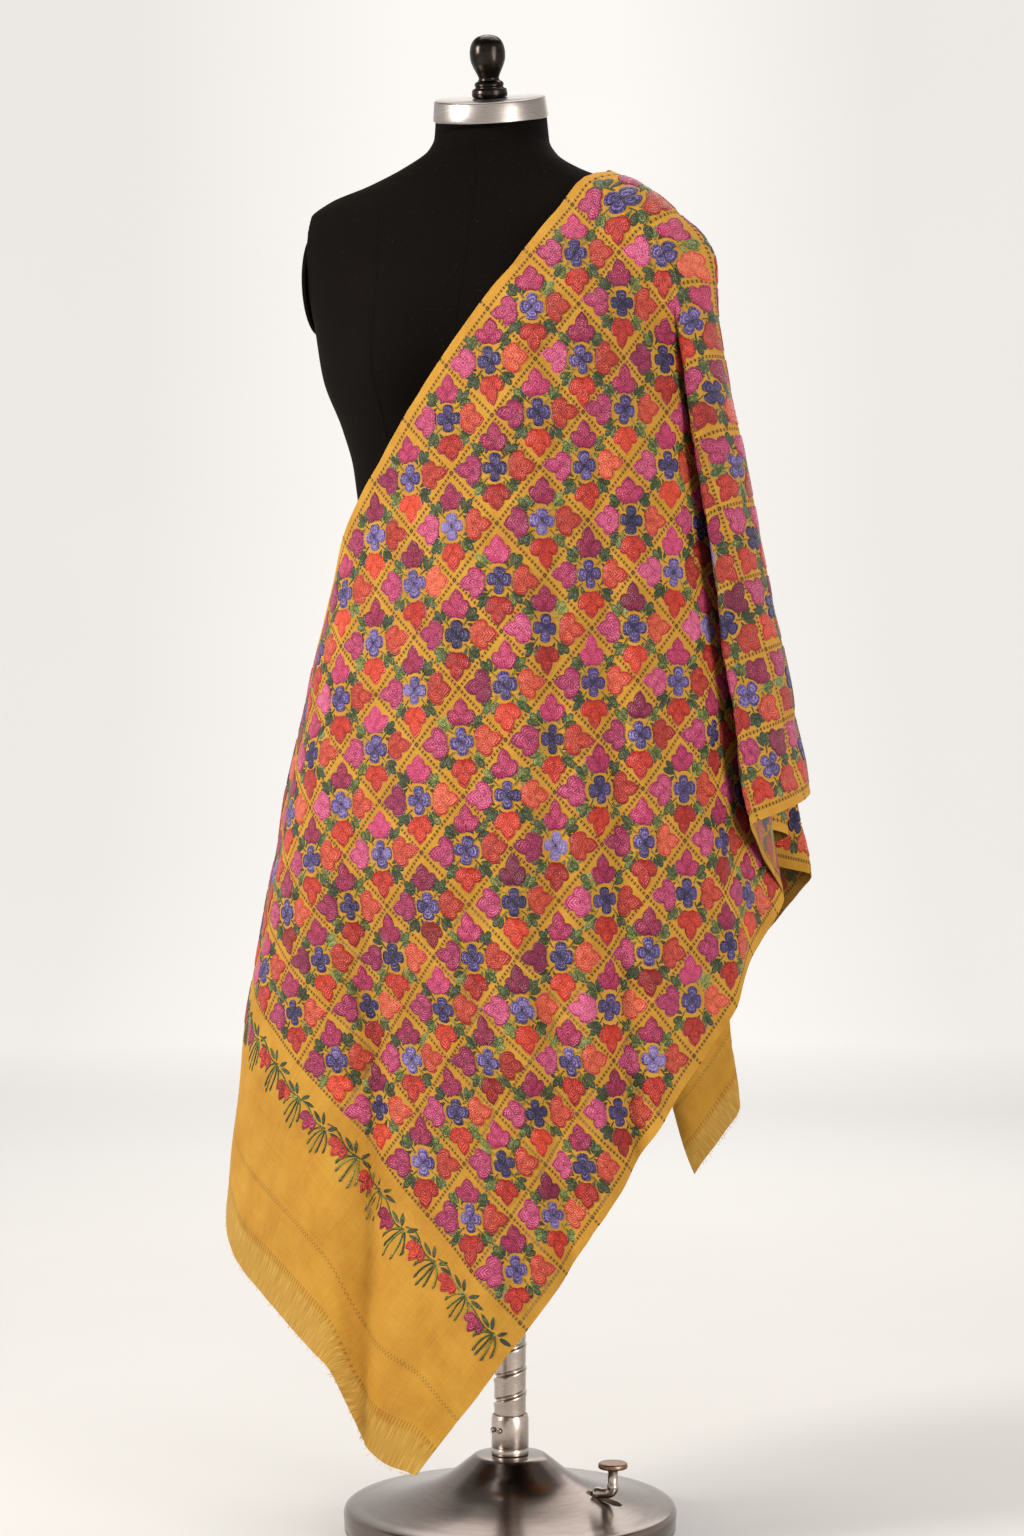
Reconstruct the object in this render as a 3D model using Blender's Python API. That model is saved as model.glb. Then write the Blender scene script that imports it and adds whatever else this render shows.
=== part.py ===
"""Embroidered stole hung over the left shoulder of a dress form on a weighted stand.

The form stands on the floor at z = 0 with its pole on the Z axis. -Y is the side that the display faces, and +X is
the side of the shoulder that carries the stole. All lengths are in metres.
"""

import math

import bmesh
import bpy
import numpy as np

for obj in list(bpy.data.objects):
    bpy.data.objects.remove(obj, do_unlink=True)

GAP = 0.0004  # clearance at a seam or a fitted joint

# ---------------------------------------------------------------- the dress form
# The form is turned to its own right, so FRONT and LEFT are its own forward and left directions.
TURN = math.radians(21)
FRONT = np.array([-math.sin(TURN), -math.cos(TURN)])
LEFT = np.array([math.cos(TURN), -math.sin(TURN)])

# One row for each level of the torso: half width, depth in front and behind, and how far forward its middle is.
TORSO = """
level  z      half   front  back   shift
hem    0.715  0.158  0.118  0.118  0.000
thigh  0.760  0.172  0.126  0.128  0.000
hip    0.850  0.182  0.128  0.138  0.000
belly  0.950  0.172  0.120  0.122  0.008
waist  1.050  0.156  0.104  0.100  0.018
rib    1.110  0.160  0.112  0.104  0.022
under  1.155  0.172  0.120  0.108  0.024
bust   1.205  0.192  0.128  0.112  0.026
chest  1.265  0.204  0.118  0.110  0.028
armpit 1.315  0.216  0.096  0.098  0.031
tip    1.352  0.221  0.080  0.082  0.034
cap    1.380  0.212  0.068  0.070  0.036
slope  1.395  0.188  0.061  0.064  0.038
trap   1.407  0.145  0.057  0.059  0.041
base   1.424  0.096  0.056  0.056  0.045
root   1.437  0.068  0.057  0.055  0.049
neck   1.450  0.059  0.057  0.055  0.052
throat 1.478  0.057  0.057  0.056  0.060
"""


def table(text):
    """Rows of a text table as a dictionary of columns: names stay text, the rest become arrays."""
    lines = [line.split() for line in text.strip().splitlines()]
    head, rows = lines[0], lines[1:]
    columns = {head[0]: [row[0] for row in rows]}
    for k, name in enumerate(head[1:], 1):
        columns[name] = np.array([float(row[k]) for row in rows])
    return columns


def smooth(x, xs, ys):
    """Smooth curve through a column of a table (cubic Hermite with limited slopes)."""
    x = np.clip(np.asarray(x, float), xs[0], xs[-1])
    step, rise = np.diff(xs), np.diff(ys)
    slope = rise / step
    tangent = np.zeros(len(xs))
    same = slope[:-1] * slope[1:] > 0
    both = np.where(same, slope[:-1] + slope[1:], 1.0)
    tangent[1:-1] = np.where(same, 2 * slope[:-1] * slope[1:] / both, 0.0)
    tangent[0], tangent[-1] = slope[0], slope[-1]
    k = np.clip(np.searchsorted(xs, x) - 1, 0, len(xs) - 2)
    t = (x - xs[k]) / step[k]
    return (ys[k] * (1 + 2 * t) * (1 - t) ** 2 + ys[k + 1] * t * t * (3 - 2 * t)
            + step[k] * (tangent[k] * t * (1 - t) ** 2 - tangent[k + 1] * t * t * (1 - t)))


torso = table(TORSO)
ROUND = 2.15            # how square the torso's sections are; 2 is an ellipse
BUST_SIDE, BUST_Z, BUST_OUT = 0.082, 1.205, 0.021

# The shoulder under the stole sits lower than the bare one.
DROP = """
place  u      down
neck   0.040  0.000
inner  0.100  0.012
middle 0.150  0.014
outer  0.205  0.042
"""
drop_rows = table(DROP)


def drop(u, z):
    """How far the stole's shoulder is lowered at sideways distance u and level z."""
    return smooth(u, drop_rows["u"], drop_rows["down"]) * np.clip((z - 1.18) / 0.15, 0, 1)


def torso_size(z):
    return [smooth(z, torso["z"], torso[name]) for name in ("half", "front", "back", "shift")]


def bust(u, z, forward):
    """Extra depth of the bust at sideways distance u and height z, in front only."""
    swell = sum(np.exp(-((u - side) / 0.052) ** 2) for side in (-BUST_SIDE, BUST_SIDE))
    return BUST_OUT * swell * np.exp(-((z - BUST_Z) / 0.062) ** 2) * np.clip(forward, 0, 1) ** 2


def torso_ring(z, angles):
    half, front, back, shift = torso_size(z)
    c, s = np.cos(angles), np.sin(angles)
    u = half * np.sign(c) * np.abs(c) ** (2 / ROUND)
    w = np.where(s > 0, front, back) * np.sign(s) * np.abs(s) ** (2 / ROUND)
    w = w + bust(u, z, s) + shift
    flat = u[:, None] * LEFT + w[:, None] * FRONT
    return np.column_stack([flat, z - drop(u, np.full(len(u), z))])


def inside(points, clear):
    """How deep points are in the form swollen by clear: 1 on its skin, less inside."""
    u = points[..., 0] * LEFT[0] + points[..., 1] * LEFT[1]
    level = points[..., 2] + drop(u, points[..., 2] + drop(u, points[..., 2]))
    z = np.clip(level - 0.6 * clear * (level > 1.3), torso["z"][0], torso["z"][-1])
    half, front, back, shift = torso_size(z)
    w = points[..., 0] * FRONT[0] + points[..., 1] * FRONT[1] - shift
    depth = np.where(w > 0, front, back)
    angle = np.where(w > 0, w / (depth + clear), 0)
    w = w - bust(u, z, angle)
    return (np.abs(u) / (half + clear)) ** ROUND + (np.abs(w) / (depth + clear)) ** ROUND


def rest_on_form(points, clear=0.006, soft=0.05):
    """Moves the points that would be in the form out to its skin, easing in the ones that lie close to it."""
    points = np.array(points, float)
    eps = 1e-4
    first = inside(points, clear)
    near = (first < 1 + 6 * soft) & (points[..., 2] > torso["z"][0] - 0.02)
    aim = 1 + soft * np.log1p(np.exp(np.clip((first - 1) / soft, -30, 30)))
    for _ in range(16):
        value = inside(points, clear)
        slope = np.stack([(inside(points + eps * np.eye(3)[k], clear) - value) / eps for k in range(3)], -1)
        size = (slope ** 2).sum(-1) + 1e-6
        move = np.where(near, np.clip((aim - value) / size, -0.01, 0.01), 0)
        points += slope * move[..., None] * 0.9
    return points


# ---------------------------------------------------------------- the stole's cut
# s counts squares along the stole from the middle of the work, + toward the front end; t counts squares across it
# from the selvedge that lies at the neck (t = 0) to the one that hangs at the arm (t = 9).
SQUARE = 0.0700                 # side of one embroidered square
ACROSS = 9                      # squares across the stole
EDGE = 0.15                     # plain selvedge outside the last square, in squares
FRONT_SQUARES = 1.5             # where the squares stop at the front end
BACK_SQUARES = -20.5            # and at the back end
PLAIN = 0.185 / SQUARE          # the plain end beyond the squares
SHEAR = math.radians(40.3)      # the squares hang cornerwise and are drawn a little long by the cloth's weight
WALL = 0.0016                   # thickness of the cloth
T_NECK, T_ARM = -EDGE, ACROSS + EDGE
S_FRONT, S_BACK = FRONT_SQUARES + PLAIN, BACK_SQUARES - PLAIN


def ease(x):
    """Soft step from 0 to 1."""
    x = np.clip(x, 0, 1)
    return x * x * (3 - 2 * x)


def unit(v):
    return v / np.linalg.norm(v, axis=-1, keepdims=True)


def hung(s, t):
    """Square counts to metres on the hung cloth laid flat, from the top of the side folds: x right, y up."""
    ds, dt = (s - PIN_S) * SQUARE, (t - PIN_T) * SQUARE
    return np.stack([(dt - ds) * math.sin(SHEAR), -(ds + dt) * math.cos(SHEAR)], -1)


# The front fall is part of a cone: its rulings fan out from a point above the shoulder. Its last ruling on the arm
# side is the ridge where the side folds begin, and PIN is the spot on the ridge where the folds open.
PIN = np.array([0.147, -0.156, 1.305])
PIN_S, PIN_T = -10.9, 1.55
RIDGE_LEAN = math.radians(4.2)      # of the ridge from plumb, on the flat cloth
APEX_ABOVE = 0.87                   # from PIN up to the cone's point, along the ridge
PROFILE_Z = 0.75
PROFILE = """
place  x       y
ridge  0.208  -0.149
lap    0.100  -0.196
belly  0.010  -0.210
hollow -0.095 -0.186
hip    -0.212 -0.104
side   -0.233  0.010
rear   -0.186  0.112
"""


def front_cone():
    rows = table(PROFILE)
    points = np.column_stack([rows["x"], rows["y"], np.full(len(rows["x"]), PROFILE_Z)])
    down = unit(points[0] - PIN)
    apex = PIN - APEX_ABOVE * down
    ways = unit(points - apex)
    turn = np.concatenate([[0], np.cumsum(np.arccos(np.clip((ways[1:] * ways[:-1]).sum(1), -1, 1)))])
    fine = np.linspace(0, turn[-1], 240)
    curve = unit(np.stack([spline(fine, turn, ways[:, k]) for k in range(3)], -1))
    angle = np.concatenate([[0], np.cumsum(np.arccos(np.clip((curve[1:] * curve[:-1]).sum(1), -1, 1)))])
    return apex, down, angle, curve


def spline(x, xs, ys):
    """Natural cubic spline through the points."""
    n = len(xs)
    h = np.diff(xs)
    a = np.zeros((n, n))
    r = np.zeros(n)
    a[0, 0] = a[-1, -1] = 1
    for i in range(1, n - 1):
        a[i, i - 1], a[i, i], a[i, i + 1] = h[i - 1], 2 * (h[i - 1] + h[i]), h[i]
        r[i] = 6 * ((ys[i + 1] - ys[i]) / h[i] - (ys[i] - ys[i - 1]) / h[i - 1])
    m = np.linalg.solve(a, r)
    k = np.clip(np.searchsorted(xs, x) - 1, 0, n - 2)
    u, v = x - xs[k], xs[k + 1] - x
    return ((m[k] * v ** 3 + m[k + 1] * u ** 3) / (6 * h[k])
            + (ys[k] / h[k] - m[k] * h[k] / 6) * v + (ys[k + 1] / h[k] - m[k + 1] * h[k] / 6) * u)


APEX, RIDGE_DOWN, CONE_ANGLE, CONE_WAY = front_cone()
RIDGE_FLAT = np.array([math.sin(RIDGE_LEAN), -math.cos(RIDGE_LEAN)])
SHOULDER_LOW, SHOULDER_HIGH, SHOULDER_BACK = 1.20, 1.42, 0.112
# The front end swings in toward the pole over this stretch, in squares.
END_FROM, END_ALONG, END_T = -3.0, 4.5, 1.5
END_SWING = np.array([0.033, 0.030, 0.015])
# How far the edge of the plain end hangs below a straight hem, from its left corner to its tip.
HEM_DROPS = """
place      x       drop
corner   -0.290   0.062
turn     -0.260   0.042
slope    -0.232   0.025
straight -0.205   0.011
dent     -0.182   0.005
step     -0.170   0.022
bulge    -0.155   0.042
belly    -0.138   0.039
rise     -0.115   0.022
tip      -0.094   0.000
"""

# The front fall's own folds, as lines on the hung cloth laid flat (metres right of and above the top of the side
# folds): height at the upper and the lower end (+ toward the viewer) and half width.
FRONT_FOLDS = """
fold       x_top   y_top   x_low   y_low   h_top   h_low   half
outer     -0.590  -0.45   -0.600  -0.80    0.002   0.007   0.050
swing     -0.430  -0.40   -0.470  -0.95    0.002   0.008   0.040
deep      -0.322  -0.36   -0.384  -1.10   -0.005  -0.031   0.027
knee      -0.276  -0.42   -0.262  -0.95    0.003   0.010   0.034
chest     -0.272  -0.19   -0.284  -0.40   -0.003  -0.003   0.022
slack     -0.190  -0.46   -0.208  -0.66   -0.003  -0.005   0.030
middle    -0.110  -0.16   -0.165  -0.98   -0.007  -0.014   0.020
inner     -0.078  -0.17   -0.077  -0.82   -0.006  -0.015   0.020
lap       -0.045  -0.18   -0.032  -0.76    0.003   0.010   0.022
"""
FOLD_EASE = 0.14        # metres over which a fold comes up at its upper end
PINCH = 0.30            # how much the cloth beside a fold is drawn in toward it, for the height it takes up


def front_folds(s, t):
    """Height of the folds at s, t, and how far they draw the cloth sideways."""
    at = hung(s, t)
    rows = table(FRONT_FOLDS)
    high, aside = np.zeros(at.shape[:-1]), np.zeros(at.shape[:-1])
    for k in range(len(rows["half"])):
        y0, y1 = rows["y_top"][k], rows["y_low"][k]
        share = np.clip((y0 - at[..., 1]) / (y0 - y1), 0, 1.25)
        x = rows["x_top"][k] + (rows["x_low"][k] - rows["x_top"][k]) * share
        peak = rows["h_top"][k] + (rows["h_low"][k] - rows["h_top"][k]) * share
        peak = peak * ease((y0 + FOLD_EASE - at[..., 1]) / FOLD_EASE)
        off = (at[..., 0] - x) / rows["half"][k]
        bell = np.exp(-off ** 2)
        high += peak * bell
        aside -= PINCH * peak ** 2 / rows["half"][k] * off * bell
    return high, aside


# Over the top of the shoulder: where the neck selvedge and the top of the arm-side folds run.
CREST = """
place   s       neck_x  neck_y  neck_z  arm_x   arm_y   arm_z   arm_t
open    -10.90   0.000   0.000  0.000   0.147  -0.156   1.305   1.55
lip     -11.20   0.106  -0.098  1.403   0.170  -0.150   1.321   1.52
round   -11.60   0.102  -0.064  1.414   0.192  -0.110   1.326   1.48
top     -12.00   0.099  -0.040  1.417   0.195  -0.066   1.326   1.45
behind  -12.40   0.096  -0.018  1.414   0.177  -0.020   1.326   1.45
"""
CREST_END = -12.40
SHOULDER_CLEAR, FOLD_CLEAR = 0.008, 0.010


def front_point(s, t):
    """Where the front fall's cloth at s, t hangs."""
    away = hung(s, t) + APEX_ABOVE * RIDGE_FLAT
    far = np.hypot(away[..., 0], away[..., 1])
    turn = np.arctan2(RIDGE_FLAT[1] * away[..., 0] - RIDGE_FLAT[0] * away[..., 1],
                      RIDGE_FLAT[0] * away[..., 0] + RIDGE_FLAT[1] * away[..., 1])
    way = np.stack([np.interp(turn, CONE_ANGLE, CONE_WAY[:, k]) for k in range(3)], -1)
    point = APEX + far[..., None] * unit(way)
    # Above the chest the cloth leans back onto the shoulder, up to its crest.
    lean = np.clip((point[..., 2] - SHOULDER_LOW) / (SHOULDER_HIGH - SHOULDER_LOW), 0, 1.2)
    point[..., 1] += SHOULDER_BACK * lean ** 2 * (1 - 0.25 * lean)
    swing = ease((s - END_FROM) / END_ALONG) * ease((t - END_T) / 4)
    point += swing[..., None] * END_SWING
    drops = table(HEM_DROPS)
    point[..., 2] -= smooth(point[..., 0], drops["x"], drops["drop"]) * ease((s - FRONT_SQUARES) / PLAIN)
    high, aside = front_folds(s, t)
    point[..., 0] += aside
    point[..., 1] -= high
    return rest_on_form(point)


def shoulder_point(s, v):
    """The cloth on top of the shoulder: s squares along, v from the neck selvedge (0) to the arm side (1)."""
    rows = table(CREST)
    order = -rows["s"]
    neck = [rows["neck_" + k].copy() for k in "xyz"]
    start = front_point(np.array([PIN_S]), np.array([T_NECK]))[0]
    for k in range(3):
        neck[k][0] = start[k]
    neck = np.stack([smooth(-s, order, column) for column in neck], -1)
    arm = np.stack([smooth(-s, order, rows["arm_" + k]) for k in "xyz"], -1)
    swell = np.sin(math.pi * v) * np.clip((PIN_S - s) * 2, 0, 1) * 0.008
    point = neck + (arm - neck) * v[..., None]
    point[..., 2] += swell
    return rest_on_form(point, SHOULDER_CLEAR)


def crest_t(s):
    rows = table(CREST)
    return smooth(-np.asarray(s, float), -rows["s"], rows["arm_t"])


# ---------------------------------------------------------------- folds at the arm side and the back
# One row for each fold line, from the shoulder down to the cloth's edge: where it starts and ends in space and on the
# cloth (s, t), and how round the fold is (0.05 sharp, 0.5 soft).
SIDE_FOLDS = """
fold      x0     y0     z0     s0     t0    x1     y1     z1     s1      t1    soft
ridge     0.147 -0.156  1.305 -10.90  1.55  0.222 -0.148  0.565  -4.60   9.15  0.50
flank     0.150 -0.150  1.306 -10.92  1.55  0.238 -0.124  0.602  -5.30   9.15  0.40
valley    0.155 -0.142  1.307 -10.96  1.55  0.286 -0.062  0.665  -6.90   9.15  0.24
return    0.156 -0.148  1.308 -11.02  1.55  0.262 -0.106  0.704  -8.00   9.15  0.40
nose      0.158 -0.155  1.309 -11.08  1.54  0.236 -0.154  0.742  -9.30   9.15  0.16
flap      0.172 -0.149  1.321 -11.22  1.52  0.280 -0.130  0.757 -10.00   9.15  0.46
outer     0.192 -0.110  1.326 -11.60  1.48  0.312 -0.066  0.772 -10.75   9.15  0.40
back_nose 0.195 -0.072  1.326 -11.95  1.45  0.311 -0.034  0.777 -11.40   9.15  0.20
tuck      0.186 -0.060  1.326 -12.05  1.45  0.246 -0.044  0.741 -12.50   9.15  0.20
under     0.190 -0.048  1.326 -12.18  1.45  0.300 -0.010  0.729 -13.20   9.15  0.20
inner     0.182 -0.034  1.326 -12.30  1.45  0.240  0.040  0.705 -14.70   9.15  0.20
corner    0.177 -0.020  1.326 -12.40  1.45  0.324  0.034  0.686 -16.60   9.15  0.30
"""
BACK_FOLDS = """
fold      x0     y0     z0     s0     t0    x1     y1     z1     s1      t1    soft
corner    0.176 -0.017  1.326 -12.40  1.45  0.324  0.037  0.685 -16.62   9.15  0.30
reveal    0.172 -0.014  1.328 -12.40  1.44  0.292  0.085  0.640 -17.60   9.15  0.50
hang      0.168 -0.011  1.331 -12.40  1.42  0.266  0.112  0.602 -18.50   9.15  0.50
inward    0.164 -0.008  1.335 -12.40  1.40  0.243  0.125  0.545 -19.30   9.15  0.50
turn      0.160 -0.006  1.340 -12.40  1.36  0.150  0.128  0.500 -20.60   9.15  0.20
tail      0.157 -0.004  1.345 -12.40  1.32  0.176  0.150  0.440 -21.90   9.15  0.40
tip       0.153 -0.002  1.350 -12.40  1.26  0.200  0.156  0.346 -23.14   9.15  0.50
edge_fold 0.148  0.000  1.358 -12.40  1.16  0.262  0.166  0.430 -23.14   7.75  0.14
blade     0.138 -0.004  1.376 -12.40  0.85  0.110  0.204  0.540 -23.14   5.10  0.40
spine     0.118 -0.012  1.400 -12.40  0.40 -0.040  0.214  0.640 -23.14   2.60  0.50
neckside  0.096 -0.018  1.414 -12.40 -0.15 -0.180  0.180  0.710 -23.14  -0.15  0.50
"""

SOFTEST = 0.46
FOLD_TOP, FOLD_FADE = 0.004, 0.2            # shares of a fold line: where it starts below the shoulder, and
                                            # how far down it keeps to the shoulder's curve
RIDGE_GAP = np.array([0.0008, 0.0016, 0.0])    # between the walls that meet at the ridge
CORNER_GAP = np.array([-0.0008, 0.0040, 0.0])  # and at the corner fold


def rounded(rows, soft, corner_steps, gap_steps):
    """Line through the rows (each a list of values) with every inner corner rounded off."""
    out = [rows[0]]
    for k in range(1, len(rows) - 1):
        before = rows[k] + soft[k] * (rows[k - 1] - rows[k])
        after = rows[k] + soft[k] * (rows[k + 1] - rows[k])
        last = out[-1]
        for j in range(1, gap_steps + 1):
            out.append(last + (before - last) * j / gap_steps)
        for j in range(1, corner_steps + 1):
            u = j / corner_steps
            out.append(before * (1 - u) ** 2 + 2 * u * (1 - u) * rows[k] + after * u * u)
    last = out[-1]
    for j in range(1, gap_steps + 1):
        out.append(last + (rows[-1] - last) * j / gap_steps)
    return np.array(out)


def fold_fan(text, levels, corner_steps=2, gap_steps=1):
    """Grid over the folds of a table: x, y, z, s, t for each level (first index) and place across."""
    rows = table(text)
    top = np.column_stack([rows[c] for c in ("x0", "y0", "z0", "s0", "t0")])
    low = np.column_stack([rows[c] for c in ("x1", "y1", "z1", "s1", "t1")])
    grid = []
    for w in levels:
        line = top + (low - top) * w
        grid.append(rounded(line, np.minimum(rows["soft"], SOFTEST), corner_steps, gap_steps))
    grid = np.array(grid)
    # The first rows follow the cloth that lies over the shoulder.
    first = rounded(top, np.minimum(rows["soft"], SOFTEST), corner_steps, gap_steps)
    s, t = first[:, 3], first[:, 4]
    shift = shoulder_point(s, np.clip((t - T_NECK) / (crest_t(s) - T_NECK), 0, 1)) - first[:, :3]
    fade = 1 - ease(np.array(levels) / FOLD_FADE)
    grid[..., :3] += shift * fade[:, None, None]
    return grid


def wall(name, grid, material):
    """Cloth wall on a grid of points, half its thickness to each side."""
    rows, cols = grid.shape[:2]
    faces = [(i * cols + j, (i + 1) * cols + j, (i + 1) * cols + j + 1, i * cols + j + 1)
             for i in range(rows - 1) for j in range(cols - 1)]
    mesh = bpy.data.meshes.new(name)
    mesh.from_pydata([tuple(map(float, p)) for p in grid.reshape(-1, 3)], [], faces)
    obj = bpy.data.objects.new(name, mesh)
    bpy.context.scene.collection.objects.link(obj)
    mesh.materials.append(finish(material))
    thick = obj.modifiers.new("thickness", "SOLIDIFY")
    thick.thickness, thick.offset = WALL, 0.0
    return obj


# ---------------------------------------------------------------- solids
FINISH = {
    "stole_cloth": ((0.72, 0.42, 0.05, 1), 0.85, 0.0),
    "form_jersey": ((0.012, 0.012, 0.013, 1), 0.9, 0.0),
    "nickel": ((0.55, 0.52, 0.49, 1), 0.3, 1.0),
    "gunmetal": ((0.06, 0.055, 0.05, 1), 0.2, 1.0),
    "steel": ((0.6, 0.58, 0.55, 1), 0.25, 1.0),
}


def finish(name):
    if name in bpy.data.materials:
        return bpy.data.materials[name]
    colour, rough, metal = FINISH[name]
    material = bpy.data.materials.new(name)
    material.use_nodes = True
    skin = material.node_tree.nodes["Principled BSDF"]
    skin.inputs["Base Color"].default_value = colour
    skin.inputs["Roughness"].default_value = rough
    skin.inputs["Metallic"].default_value = metal
    return material


def solid(name, verts, faces, material):
    """Named object from points and faces, with its faces turned outward."""
    mesh = bpy.data.meshes.new(name)
    mesh.from_pydata([tuple(map(float, v)) for v in verts], [], [tuple(map(int, f)) for f in faces])
    work = bmesh.new()
    work.from_mesh(mesh)
    bmesh.ops.triangulate(work, faces=[f for f in work.faces if len(f.verts) == 4])
    bmesh.ops.recalc_face_normals(work, faces=work.faces[:])
    if work.calc_volume(signed=True) < 0:
        bmesh.ops.reverse_faces(work, faces=work.faces[:])
    work.to_mesh(mesh)
    work.free()
    obj = bpy.data.objects.new(name, mesh)
    bpy.context.scene.collection.objects.link(obj)
    mesh.materials.append(finish(material))
    return obj


def stack(name, rings, material):
    """Closed solid through a stack of rings that all have the same number of points."""
    count = len(rings[0])
    verts = np.concatenate(rings)
    faces = []
    for i in range(len(rings) - 1):
        for j in range(count):
            k = (j + 1) % count
            faces.append((i * count + j, i * count + k, (i + 1) * count + k, (i + 1) * count + j))
    faces.append(tuple(reversed(range(count))))
    faces.append(tuple(range((len(rings) - 1) * count, len(rings) * count)))
    return solid(name, verts, faces, material)


def turned(name, profile, material, base=(0, 0, 0), axis=(0, 0, 1), count=40):
    """Lathe-turned solid: profile rows are (radius, height) along the axis."""
    axis = unit(np.array(axis, float))
    side = unit(np.cross(axis, (0.0, 1.0, 0.001)))
    other = np.cross(axis, side)
    a = np.linspace(0, 2 * math.pi, count, endpoint=False)
    rings = [np.array(base) + axis * h + r * (np.cos(a)[:, None] * side + np.sin(a)[:, None] * other)
             for r, h in profile]
    return stack(name, rings, material)


# ---------------------------------------------------------------- the form's solids
PLATE_AT = 0.203            # where the torso's shoulders are cut off for the arm plates
PLATE_Z, PLATE_HIGH, PLATE_DEEP, PLATE_DOME = 1.314, 0.055, 0.042, 0.012
NECK_TOP = np.array([-0.0195, -0.055, 1.4680])
NECK_UP = unit(np.array([-0.052, -0.300, 0.950]))     # the neck is cut off leaning forward
CAP_R, CAP_TOP_R, CAP_HIGH = 0.0597, 0.0575, 0.0215


def build_form():
    angles = np.linspace(0, 2 * math.pi, 44, endpoint=False)
    levels = [0.715, 0.76, 0.81, 0.87, 0.94, 1.01, 1.07, 1.12, 1.15, 1.18, 1.205, 1.23, 1.26,
              1.295, 1.325, 1.352, 1.370, 1.386, 1.398, 1.408, 1.418, 1.428, 1.439, 1.449]
    rings = []
    for z in levels:
        ring = torso_ring(z, angles)
        u = ring[:, :2] @ LEFT
        spare = np.clip(np.abs(u) - PLATE_AT, 0, None) * np.sign(u)
        ring[:, :2] -= spare[:, None] * LEFT
        rings.append(ring)
    # The top ring lies in the slanted plane under the cap.
    start = np.arctan2(*(rings[-1][0, :2] - NECK_TOP[:2])[::-1])
    spin = start + angles * (1 if np.cross(LEFT, FRONT) > 0 else -1)
    flat = np.column_stack([np.cos(spin), np.sin(spin), np.zeros(len(spin))]) * 0.0575
    lift = -(flat[:, :2] @ NECK_UP[:2]) / NECK_UP[2]
    rings.append(NECK_TOP + flat + np.column_stack([lift * 0, lift * 0, lift]))
    stack("form_body", rings, "form_jersey")

    for name, way in (("arm_plate_right", -1), ("arm_plate_left", 1)):
        middle = np.append(LEFT * way * (PLATE_AT + GAP) + FRONT * 0.030, PLATE_Z - drop(way * PLATE_AT, PLATE_Z))
        out = np.append(LEFT * way, 0.0)
        a = np.linspace(0, 2 * math.pi, 28, endpoint=False)
        flat = np.cos(a)[:, None] * np.append(FRONT, 0.0) * PLATE_DEEP
        flat = flat + np.outer(np.sin(a), (0, 0, 1)) * PLATE_HIGH
        rings = []
        for k in (0.0, 0.25, 0.6, 0.9, 1.2, 1.45):
            narrow = (0.9 + 0.1 * math.cos(k)) * (math.cos(k) if k > 0.4 else 1)
            rings.append(middle + out * PLATE_DOME * math.sin(k) + flat * narrow)
        stack(name, rings, "form_jersey")

    turned("neck_cap", [(CAP_R, 0), (CAP_R, 0.001), (CAP_TOP_R, CAP_HIGH - 0.001), (CAP_TOP_R - 0.001, CAP_HIGH)],
           "nickel", NECK_TOP + NECK_UP * GAP, NECK_UP, 56)
    knob = [(0.0165, 0), (0.0183, 0.002), (0.0184, 0.007), (0.0165, 0.0098), (0.0142, 0.0105), (0.0152, 0.0125),
            (0.0150, 0.0150), (0.0118, 0.0165), (0.0112, 0.0180), (0.0100, 0.0200), (0.0125, 0.0245),
            (0.0158, 0.0310), (0.0180, 0.0380), (0.0185, 0.0440), (0.0176, 0.0510), (0.0150, 0.0570),
            (0.0108, 0.0610), (0.0055, 0.0630)]
    turned("finial", knob, "gunmetal", NECK_TOP + NECK_UP * (CAP_HIGH + 2 * GAP), NECK_UP, 24)


# ---------------------------------------------------------------- the stand
POLE_R, POLE_LOW, POLE_HIGH = 0.0170, 0.0794, 0.715
COLLAR_R, COLLAR_LOW, COLLAR_HIGH = 0.0195, 0.0794, 0.1215
BASE_PROFILE = """
place    radius  height
foot     0.1700  0.0000
toe      0.1735  0.0030
rim      0.1745  0.0210
brow     0.1720  0.0262
skirt    0.1500  0.0300
slope    0.1250  0.0352
dish     0.1000  0.0425
hollow   0.0780  0.0505
climb    0.0600  0.0610
shoulder 0.0460  0.0720
lip      0.0380  0.0782
plateau  0.0340  0.0790
"""
PEDAL_TURN = math.radians(-21.5)        # bearing of the pedal's slot from +X
SLOT_NEAR, SLOT_FAR, SLOT_WIDE, SLOT_FLOOR = 0.086, 0.124, 0.0140, 0.0200
LEVER_Z, LEVER_R, STEM_AT, STEM_TOP = 0.0480, 0.0052, 0.1145, 0.0740


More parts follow.
